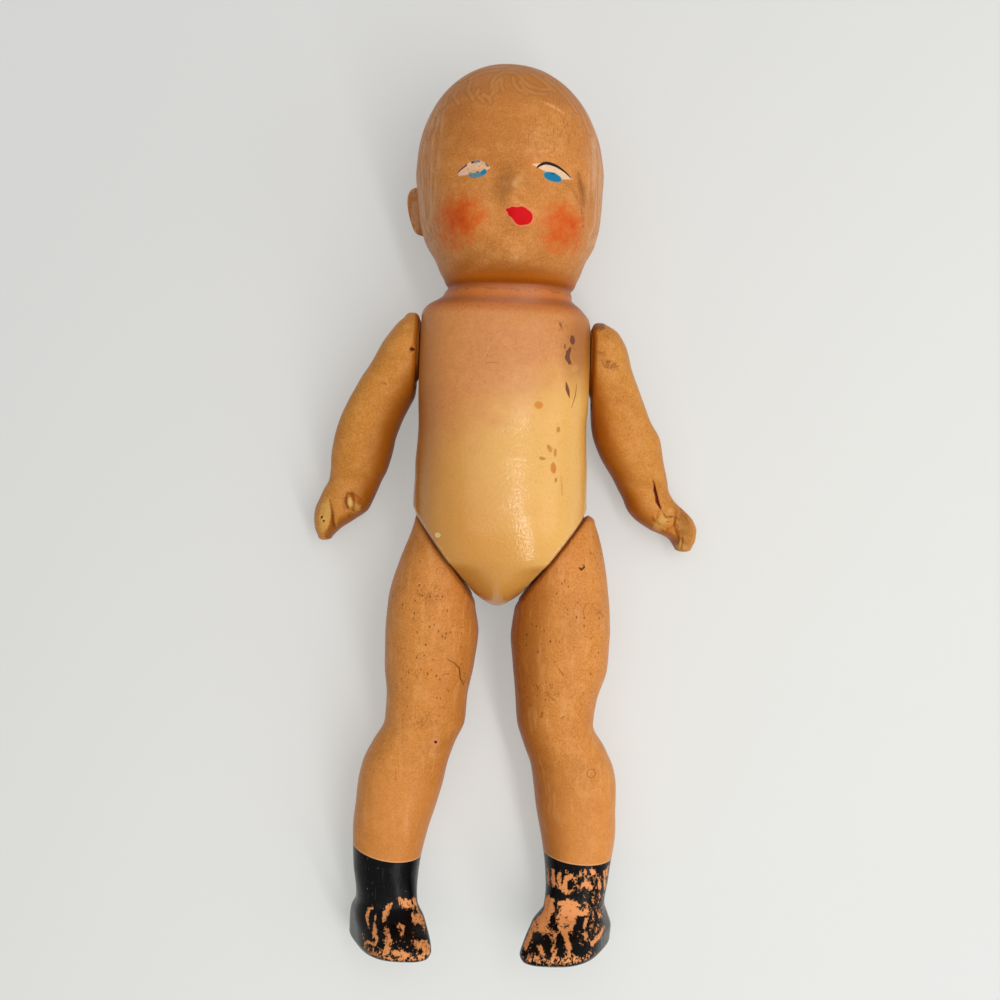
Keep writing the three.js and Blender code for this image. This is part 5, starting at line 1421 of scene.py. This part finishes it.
# black painted shoes that have peeled in upright streaks
shoe = {
    "black": (4, 4, 5), "scuff": (56, 58, 60), "bare": (232, 150, 88), "edge": (240, 180, 132),
    "paint": 0.12, "soft": 0.6, "hold": {1: 1.5, -1: 1.85}, "scuffShare": {1: 0.8, -1: 0.3},
    "line": {1: (29.3, -101.2, 0.012), -1: (-25, -102.3, 0.016)},  # middle, level and bend of the upper edge
    # areas that have lost some paint
    "areas": {
        1: [
            spot(20.5, -125.6, 10, 1.8, soft=1, share=0.6), spot(31.4, -114, 3.4, 8, soft=1.4, share=0.34),
            spot(21, -121.4, 7, 2.4, soft=1, share=0.44), spot(26.5, -106, 8.4, 3, soft=1, share=0.36),
        ],
        -1: [
            spot(-25.6, -125.4, 9.6, 1.6, soft=1, share=0.56),
            spot(-25, -121.6, 8.4, 2.6, soft=1, share=0.44),
            line([(-35.7, -122.7, 0.42), (-34.7, -124.3, 0.61), (-32.6, -126.3, 1.11),
                  (-27.8, -127.3, 1.11), (-22.2, -127.2, 1.17), (-17.9, -126.4, 1.17),
                  (-15.6, -124.1, 0.61)], soft=0.6, share=0.66),
        ],
    },
    # strokes of bare composition, and strokes of paint left standing in them: across, along, half width
    "bared": {
        1: [
            [(16.9, -103, 0.36), (17, -106, 0.36)], [(17.8, -104, 0.36), (18.1, -108.1, 0.36)],
            [(18.9, -103.9, 0.55), (19.2, -105.9, 0.86), (19.5, -107.8, 0.67)],
            [(20.9, -104.2, 0.61), (20.8, -105.9, 0.98), (21.1, -107.9, 0.73)],
            [(24.2, -104.4, 0.73), (22.7, -105.4, 0.73), (22.4, -107.5, 0.8), (22.8, -109.2, 0.86),
             (24.5, -109.5, 0.42)],
            [(27.1, -103.4, 0.55), (27, -104.4, 0.55)], [(28.5, -102.8, 0.36), (28.5, -103.7, 0.36)],
            [(30.1, -102.6, 0.55), (30.7, -103.3, 0.86)],
            [(27.6, -106.7, 0.55), (29.2, -106.9, 0.98), (30.2, -108.1, 0.55)],
            [(32.5, -106.4, 0.48), (33.1, -108.3, 0.48)], [(34.1, -103.5, 0.3), (34.5, -108.9, 0.42)],
            [(35.2, -102.5, 0.36), (34.9, -105, 0.36)],
            [(18.2, -112.5, 1.17), (17.5, -114.4, 2.29), (16.7, -116.8, 2.42), (16.4, -119.2, 2.04)],
            [(19.5, -112.1, 0.61), (19.2, -115.5, 0.92)],
            [(21.1, -112.9, 0.67), (22.7, -112.9, 1.3), (24.1, -114.2, 2.92), (23.3, -116.6, 3.04),
             (22.5, -118.6, 2.04)],
            [(26.7, -114.5, 1.67), (28.8, -115.3, 1.05)],
            [(13.5, -117.7, 0.8), (13.9, -119.8, 1.05), (12.2, -121.8, 0.67), (11.4, -123.5, 0.55)],
            [(19.6, -120.4, 0.92), (19.6, -122.2, 1.17), (19.7, -124.2, 0.92)],
            [(15.7, -123.3, 0.8), (16.4, -124.4, 0.61)],
            [(23.2, -121, 0.92), (23.9, -122.8, 0.98), (24, -124.7, 0.55)],
            [(24.5, -118.9, 0.92), (25.2, -120.1, 0.55)], [(28.9, -120.6, 0.73), (28.8, -121.2, 0.61)],
            [(30.8, -122.6, 0.73), (33.1, -121.5, 0.67), (34.4, -120.6, 0.42)],
            [(29.3, -117.2, 0.55), (28.5, -118.8, 0.55)], [(33.2, -116.7, 0.24), (33.3, -117.5, 0.24)],
            [(31.2, -115.7, 0.24), (31.3, -116.1, 0.24)],
        ],
        -1: [
            [(-33.1, -116.1, 0.42), (-34.2, -116.8, 0.61), (-34.5, -118.4, 0.61), (-33.8, -120.1, 0.61)],
            [(-32.2, -117.8, 0.36), (-32.2, -119.9, 0.61), (-31.6, -121.5, 1.05), (-30.7, -122.6, 0.61)],
            [(-27.6, -114.5, 0.61), (-28.8, -116.3, 0.98), (-29.7, -118.3, 0.98), (-29.9, -119.2, 0.42)],
            [(-25.7, -112.9, 0.42), (-24.6, -114.2, 0.98), (-23, -115.4, 0.98)],
            [(-23.7, -113.3, 0.36), (-22.5, -114.4, 0.67), (-21.7, -115.8, 0.67)],
            [(-21.6, -113.3, 0.36), (-20.6, -115.1, 0.61), (-19.8, -116.6, 0.48)],
            [(-21.3, -117.4, 0.67), (-20.2, -118.4, 1.3), (-18.8, -118.6, 1.17), (-17.7, -120.1, 0.73)],
            [(-18.4, -117, 0.67), (-17.7, -119.3, 0.55)],
            [(-28.5, -120.5, 0.61), (-27.7, -122.4, 1.11), (-28.2, -125.2, 1.17)],
            [(-23.9, -119.9, 0.48), (-23.7, -121, 0.61)], [(-26, -120.4, 0.36), (-25.3, -119.6, 0.36)],
            [(-25.5, -125.3, 0.86), (-22.2, -125.7, 0.86)],
            [(-19.3, -123.5, 1.05), (-17.3, -123.5, 1.05), (-16.5, -125.3, 0.92)],
            [(-33.6, -124, 0.55), (-31.7, -123.9, 0.61), (-30.5, -122.8, 0.48)],
        ],
    },
    "kept": {
        1: [
            [(20, -111.4, 0.19), (19.8, -114.3, 0.24), (18.7, -117.3, 0.24), (18.1, -119.2, 0.24)],
            [(21.5, -113.9, 0.29), (20.8, -116.4, 0.24)], [(23.2, -116.3, 0.19), (23.6, -115.9, 0.19)],
            [(16.3, -115.9, 0.38), (14.8, -117, 0.43)],
            [(15.9, -114, 0.14), (14, -117.3, 0.19), (13, -119.1, 0.19)],
            [(17.3, -119.2, 0.38), (17.5, -119.4, 0.38)], [(26.7, -113.7, 0.43), (28, -114.2, 0.34)],
            [(25.5, -118.6, 0.24), (25.6, -120.7, 0.43)], [(26.6, -117.3, 0.34), (27.5, -118.3, 0.43)],
            [(14, -121, 0.67), (17, -121.1, 1.06), (18.2, -123.2, 0.72), (18.3, -124.7, 0.53)],
            [(20.6, -120.1, 0.38), (21.3, -122.2, 0.77), (21.6, -124.3, 0.77)],
            [(24.5, -120.8, 0.48), (26.1, -123, 0.96), (27.2, -124.4, 0.86)],
            [(20, -103.8, 0.14), (20.1, -107, 0.14)], [(22, -104.2, 0.14), (21.7, -106.9, 0.19)],
            [(23.9, -106.9, 0.58), (24.1, -107.7, 0.48)], [(18.4, -104, 0.14), (18.6, -107.9, 0.14)],
            [(20.3, -119.1, 0.34), (20.8, -118.5, 0.19)], [(14.8, -118.6, 0.19), (15.5, -120.4, 0.24)],
            [(22.6, -119, 0.24), (24.1, -118.4, 0.24)],
        ],
        -1: [
            [(-33.2, -117, 0.38), (-33.2, -119, 0.77), (-33.3, -119.9, 0.38)],
            [(-31.2, -116.9, 0.48), (-30.7, -120.5, 0.58), (-29.7, -123.9, 0.58)],
            [(-27.1, -115.6, 0.48), (-27.4, -118, 0.67), (-26, -121.9, 0.67)],
            [(-22.7, -117.1, 0.67), (-22.1, -120.2, 0.86), (-22.1, -122.7, 0.67)],
            [(-19.5, -120.1, 0.67), (-19, -121.7, 0.48)],
            [(-29.2, -128, 0.14), (-24, -128.1, 0.14), (-18.8, -127.7, 0.14)],
        ],
    },
}


def shoeTones(side):
    tones = {}
    for key in ("bared", "kept"):
        tones[key] = [line(points, soft=shoe["soft"]) for points in shoe[key][side]]
    tones["bared"] += shoe["areas"][side]
    return tones


def drawShoe(skin, side):
    x, y = skin.x, skin.y
    middle, level, bend = shoe["line"][side]
    below = (x - middle) * (x - middle) * bend + level - y + skin.crumb * 0.06
    skin.over(shoe["edge"], below.ramp(-0.5, -0.2) * 0.55)
    covered = below.ramp(-0.06, 0.06)
    streak = (skin.noise(0.9, 5, 0.62, (1, 2.4, 1.8)) - 0.5) * 3.4
    bare = skin.tone("bared") * 2.8 + streak * 2 + skin.crumb * 2
    bare = bare - skin.tone("kept") * 1.9 - shoe["hold"][side]
    peeled = bare.ramp(-0.1, 0.15)
    painted = covered * peeled.ramp(1, 0)
    skin.over(shoe["bare"], covered * peeled * 0.85)
    skin.over(shoe["black"], painted)
    scuffed = skin.crumb.ramp(0.1, 0.9) * (x * side).ramp(24, 32) * y.ramp(-102, -110)
    skin.over(shoe["scuff"], painted * (scuffed * shoe["scuffShare"][side]))
    scratch = skin.noise(0.6, 3, 0.5, (1, 14, 4)).ramp(0.66, 0.72)
    skin.over(shoe["scuff"], painted * scratch * 0.35)
    skin.gloss(0.22, painted)
    skin.gloss(0.55, covered * peeled)
    skin.lift(painted * shoe["paint"])


# the back: the same paint, combed hair, and rubbed where the doll has lain
backPaint = {"pale": (202, 148, 86)}


def drawBack(skin):
    y = skin.y
    skin.over(backPaint["pale"], y.ramp(50, 10) * y.ramp(-30, -8) * 0.4)
    skin.over(hairPaint["tone"], y.ramp(90, 104) * 0.55)
    turn = skin.x.work("ARCTAN2", skin.z - hair["lockMiddle"]) * hair["locks"]
    turn = turn + (y * hair["lockWave"]).work("SINE") * hair["lockBend"] + y * hair["lockLean"]
    comb = turn.work("SINE") * y.ramp(82, 94) * skin.z.ramp(27, 20)
    worn = (skin.ragged * 0.5 + skin.crumb * 0.3).ramp(-0.4, 0.6)
    # painted highlight on the crests of the combed locks and painted shade in the hollows between them
    skin.over(hairPaint["crestHighlight"], comb.ramp(0.1, 1) * worn * 0.36)
    skin.over(hairPaint["grooveShade"], comb.ramp(-0.2, -1) * 0.3)
    skin.over(skinPaint["wearAndHighlight"], (skin.ragged * 0.6 + 0.1).ramp(0, 0.7) * skin.z.ramp(5, 1.5) * 0.6)
    drawHipEdge(skin)


# turned wood, drawn wire, crimped metal and covered elastic inside the doll
innerPaint = {
    "wood": (186, 146, 96), "woodGrain": (138, 98, 56), "woodLight": (212, 176, 128),
    "wire": ((150, 146, 138), (96, 74, 52)), "sleeve": ((168, 164, 154), (112, 98, 76)),
    "cotton": (226, 216, 192), "cottonShade": (170, 152, 118), "cottonStain": (190, 170, 132),
}


def plugWood():
    wood = Surface("plug wood")
    wood.colour = srgb(*innerPaint["wood"])
    grain = wood.noise(0.5, 4, 0.6, (8, 1, 1))
    wood.over(innerPaint["woodGrain"], grain.ramp(0.45, 0.65) * 0.7)
    wood.over(innerPaint["woodLight"], wood.noise(3, 2).ramp(0.5, 0.7) * 0.4)
    wood.rough = grain * 0.2 + 0.6
    wood.lift(grain * 0.06)
    return wood.finish()


def dullMetal(name, tone, stain):
    metal = Surface(name)
    metal.shader.inputs["Metallic"].default_value = 1
    metal.colour = srgb(*tone)
    cloud = metal.noise(1.6, 4, 0.6)
    metal.over(stain, cloud.ramp(0.5, 0.66) * 0.7)
    metal.rough = cloud * 0.35 + 0.25
    metal.lift(metal.noise(0.3, 3) * 0.02)
    return metal.finish()


def coveredElastic():
    cotton = Surface("covered elastic")
    cotton.colour = srgb(*innerPaint["cotton"])
    weave = (cotton.x * 7 + cotton.z * 9).work("SINE") * (cotton.x * 7 - cotton.z * 9).work("SINE")
    cotton.over(innerPaint["cottonShade"], weave.ramp(0.1, -0.5) * 0.6)
    cotton.over(innerPaint["cottonStain"], cotton.noise(3).ramp(0.5, 0.7) * 0.5)
    cotton.rough = weave * 0.05 + 0.85
    cotton.lift(weave * 0.12)
    return cotton.finish()


def trunkMaterials():
    names = ("torso", "face", "hair")
    torsoSkin, faceSkin, hairSkin = [compositionSkin(name, torso["paint"]) for name in names]
    for skin in (faceSkin, hairSkin):
        drawHeadSides(skin)
    drawTorso(torsoSkin)
    for skin in (torsoSkin, faceSkin):
        drawNeck(skin)
    drawFace(faceSkin)
    drawHair(hairSkin)
    for skin in (faceSkin, hairSkin):
        drawBrowCracks(skin)
    return [skin.finish() for skin in (torsoSkin, faceSkin, hairSkin)]


def backMaterial():
    skin = compositionSkin("back", torso["paint"])
    drawNeck(skin)
    drawHeadSides(skin)
    drawBack(skin)
    return skin.finish()


def limbMaterial(name, base, draw, side):
    skin = compositionSkin(name, base)
    draw(skin, side)
    return skin.finish()


def giveMaterials(made, materials):
    made.data.materials.clear()
    for material in materials:
        made.data.materials.append(material)


# painted shade on the sides of the limbs that face the body
def keepShadeSide(made, way, share):
    mesh = made.data
    normals = valuesOf(mesh.vertices, "normal")
    counts = valuesOf(mesh.polygons, "loop_total", 1, np.int32)
    ends = valuesOf(mesh.loops, "vertex_index", 1, np.int32)
    facing = np.repeat(valuesOf(mesh.polygons, "normal"), counts, axis=0)
    isSkin = np.abs(facing[:, 2]) > 0.15
    outward = np.zeros_like(normals)
    np.add.at(outward, ends[isSkin], facing[isSkin])
    length = np.linalg.norm(outward, axis=1, keepdims=True)
    normals = np.where(length > 1e-6, outward / np.maximum(length, 1e-6), normals)
    keepTone(made, "shadeOchre", share * step(normals @ np.array(way), -0.05, 0.6))


# torso, face and hair have their own paint, divided along the neck and below the hairline
def dressFront():
    giveMaterials(front, trunkMaterials())
    x, y = valuesOf(front.data.polygons, "center").T[:2] / mm
    region = np.where(y > 110 - 0.62 * np.maximum(np.abs(x) - 11, 0), 2, np.where(y > 64.5, 1, 0))
    front.data.polygons.foreach_set("material_index", region.astype(np.int32))
    names = ("blush", "dirtAndShade", "wearAndHighlight", "shadeOchre")
    keepMarks(front, {name: face["tones"].get(name, []) + torso["tones"].get(name, []) for name in names})
    corners = cornersOf(front)
    keepTone(front, "crestHighlight", strandCrest(corners[:, 0], corners[:, 1]) * step(corners[:, 1], 98, 104))


# the last entry of each limb is the share of painted shade on its sides that face the body
limbFinish = {
    "arm": {"paint": armPaint, "draw": drawArm, "marks": armMarks, "paintedShade": {1: 0.9, -1: 0.9}},
    "leg": {"paint": legPaint, "draw": drawLeg, "marks": legMarks, "paintedShade": {1: 0.6, -1: 0.3}},
}
dressFront()
giveMaterials(back, [backMaterial()])
for name, halves in limbs.items():
    side = 1 if name.startswith("left") else -1
    kind = name.split("_")[1]
    finish = limbFinish[kind]
    marks = finish["marks"][side]
    tones = {key: marks[key] for key in ("dirtAndShade", "wearAndHighlight")}
    if kind == "leg":
        tones.update(shoeTones(side))
    paint = limbMaterial(name.replace("_", " "), finish["paint"]["paint"], finish["draw"], side)
    for half in halves:
        giveMaterials(half, [paint])
        keepMarks(half, tones)
        # painted shade on the sides that face the body
        keepShadeSide(half, (-side, 0, 0), finish["paintedShade"][side])

innerFinish = {
    "plug": plugWood(), "wire_eye": dullMetal("drawn wire", *innerPaint["wire"]),
    "clamp": dullMetal("crimped sleeve", *innerPaint["sleeve"]), "elastic": coveredElastic(),
}
for name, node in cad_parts.items():
    for ending, finish in innerFinish.items():
        if name.endswith(ending):
            node.material_slots[0].material = finish
print("materials:", len(bpy.data.materials))

settle(front, "trunk", "head_torso_front")
settle(back, "trunk", "head_torso_back")
for name, (outer, inner) in limbs.items():
    slot = "arm_composition" if "arm" in name else "leg_composition"
    settle(outer, name, f"{name}_outer")
    settle(inner, name, f"{name}_inner")


# a pale table, soft lamps and the camera above the doll
room = {
    "reach": 3, "table": (226, 226, 222), "tableShadedSide": (216, 216, 214), "tableBright": (228, 229, 226),
    "glow": 0.45,
    "light": 0.24, "seen": 0.4,  # the walls, and how much paler they are where they are looked at
    # where each lamp begins and ends, its width and its strength
    "lamps": {
        "window": [(0.2, 0.4, 1.1), (0.5, -0.9, 0.55), 0.08, 4.8],
        "ceiling": [(-1, 0.3, 1.5), (1.2, 0.3, 1.5), 2.2, 13.5],
        "side": [(1.1, -0.5, 0.75), (1.1, 0.5, 0.75), 0.6, 2.6],
    },
    "lens": 57.35, "cameraPlace": (trunkAcross * mm, 0.004, 0.4863), "cameraTurn": math.radians(1.9),
}
reach = room["reach"]
floorMesh = bpy.data.meshes.new("floor")
floorCorners = [(-reach, -reach, 0), (reach, -reach, 0), (reach, reach, 0), (-reach, reach, 0)]
floorMesh.from_pydata(floorCorners, [], [(0, 1, 2, 3)])
floor = bpy.data.objects.new("floor", floorMesh)
bpy.context.scene.collection.objects.link(floor)


# 1 where a surface is looked at, straight or in a reflection
def lookedAt(tree):
    rays = tree.nodes.new("ShaderNodeLightPath")
    seen = Field(tree, rays.outputs["Is Camera Ray"])
    for kind in ("Is Glossy Ray", "Is Transmission Ray"):
        seen = seen.most(Field(tree, rays.outputs[kind]))
    return seen


# the table is lit by the lamps, and brightened for the eye so that the shadows stay faint
def tablePaint():
    table = Surface("table")
    table.colour = srgb(*room["table"])
    # painted light: the table is darker towards the top left and paler towards the bottom right, as the lamps
    # fall on it
    table.over(room["tableShadedSide"], (table.x - table.y).ramp(150, -280))
    table.over(room["tableBright"], (table.x - table.y).ramp(0, 340))
    table.rough = table.noise(30) * 0.1 + 0.6
    table.lift(table.noise(2) * 0.002)
    table.finish()
    seen = lookedAt(table.tree) * room["glow"]
    glow = table.add("ShaderNodeEmission")
    table.link(table.colour, glow.inputs["Color"])
    both = table.add("ShaderNodeMixShader")
    table.link(seen.socket, both.inputs[0])
    table.link(table.shader.outputs[0], both.inputs[1])
    table.link(glow.outputs[0], both.inputs[2])
    table.link(both.outputs[0], table.tree.nodes["Material Output"].inputs["Surface"])
    return table.material


floorMesh.materials.append(tablePaint())


# a soft lamp reaching from one place to another, facing the doll
def softLight(name, start, end, wide, strength):
    data = bpy.data.lights.new(name, "AREA")
    data.shape = "RECTANGLE"
    start, end = Vector(start), Vector(end)
    data.size, data.size_y = (end - start).length, wide
    data.energy = strength
    made = bpy.data.objects.new(name, data)
    made.location = (start + end) / 2
    away = made.location.normalized()
    along = (end - start - away * away.dot(end - start)).normalized()
    made.rotation_euler = Matrix((along, away.cross(along), away)).transposed().to_euler()
    bpy.context.scene.collection.objects.link(made)


for name, settings in room["lamps"].items():
    softLight(name, *settings)
world = bpy.data.worlds.new("room")
bpy.context.scene.world = world
world.use_nodes = True
backdrop = world.node_tree.nodes["Background"]
backdrop.inputs["Color"].default_value = (1, 1, 1, 1)
brightness = lookedAt(world.node_tree) * room["seen"] + room["light"]
world.node_tree.links.new(brightness.socket, backdrop.inputs["Strength"])
bpy.context.scene.view_settings.view_transform = "Standard"

cameraData = bpy.data.cameras.new("camera")
cameraData.sensor_width = 36
cameraData.lens = room["lens"]
cameraData.clip_start = 0.01
camera = bpy.data.objects.new("camera", cameraData)
camera.location = room["cameraPlace"]
camera.rotation_euler = (0, 0, room["cameraTurn"])
bpy.context.scene.collection.objects.link(camera)
bpy.context.scene.camera = camera
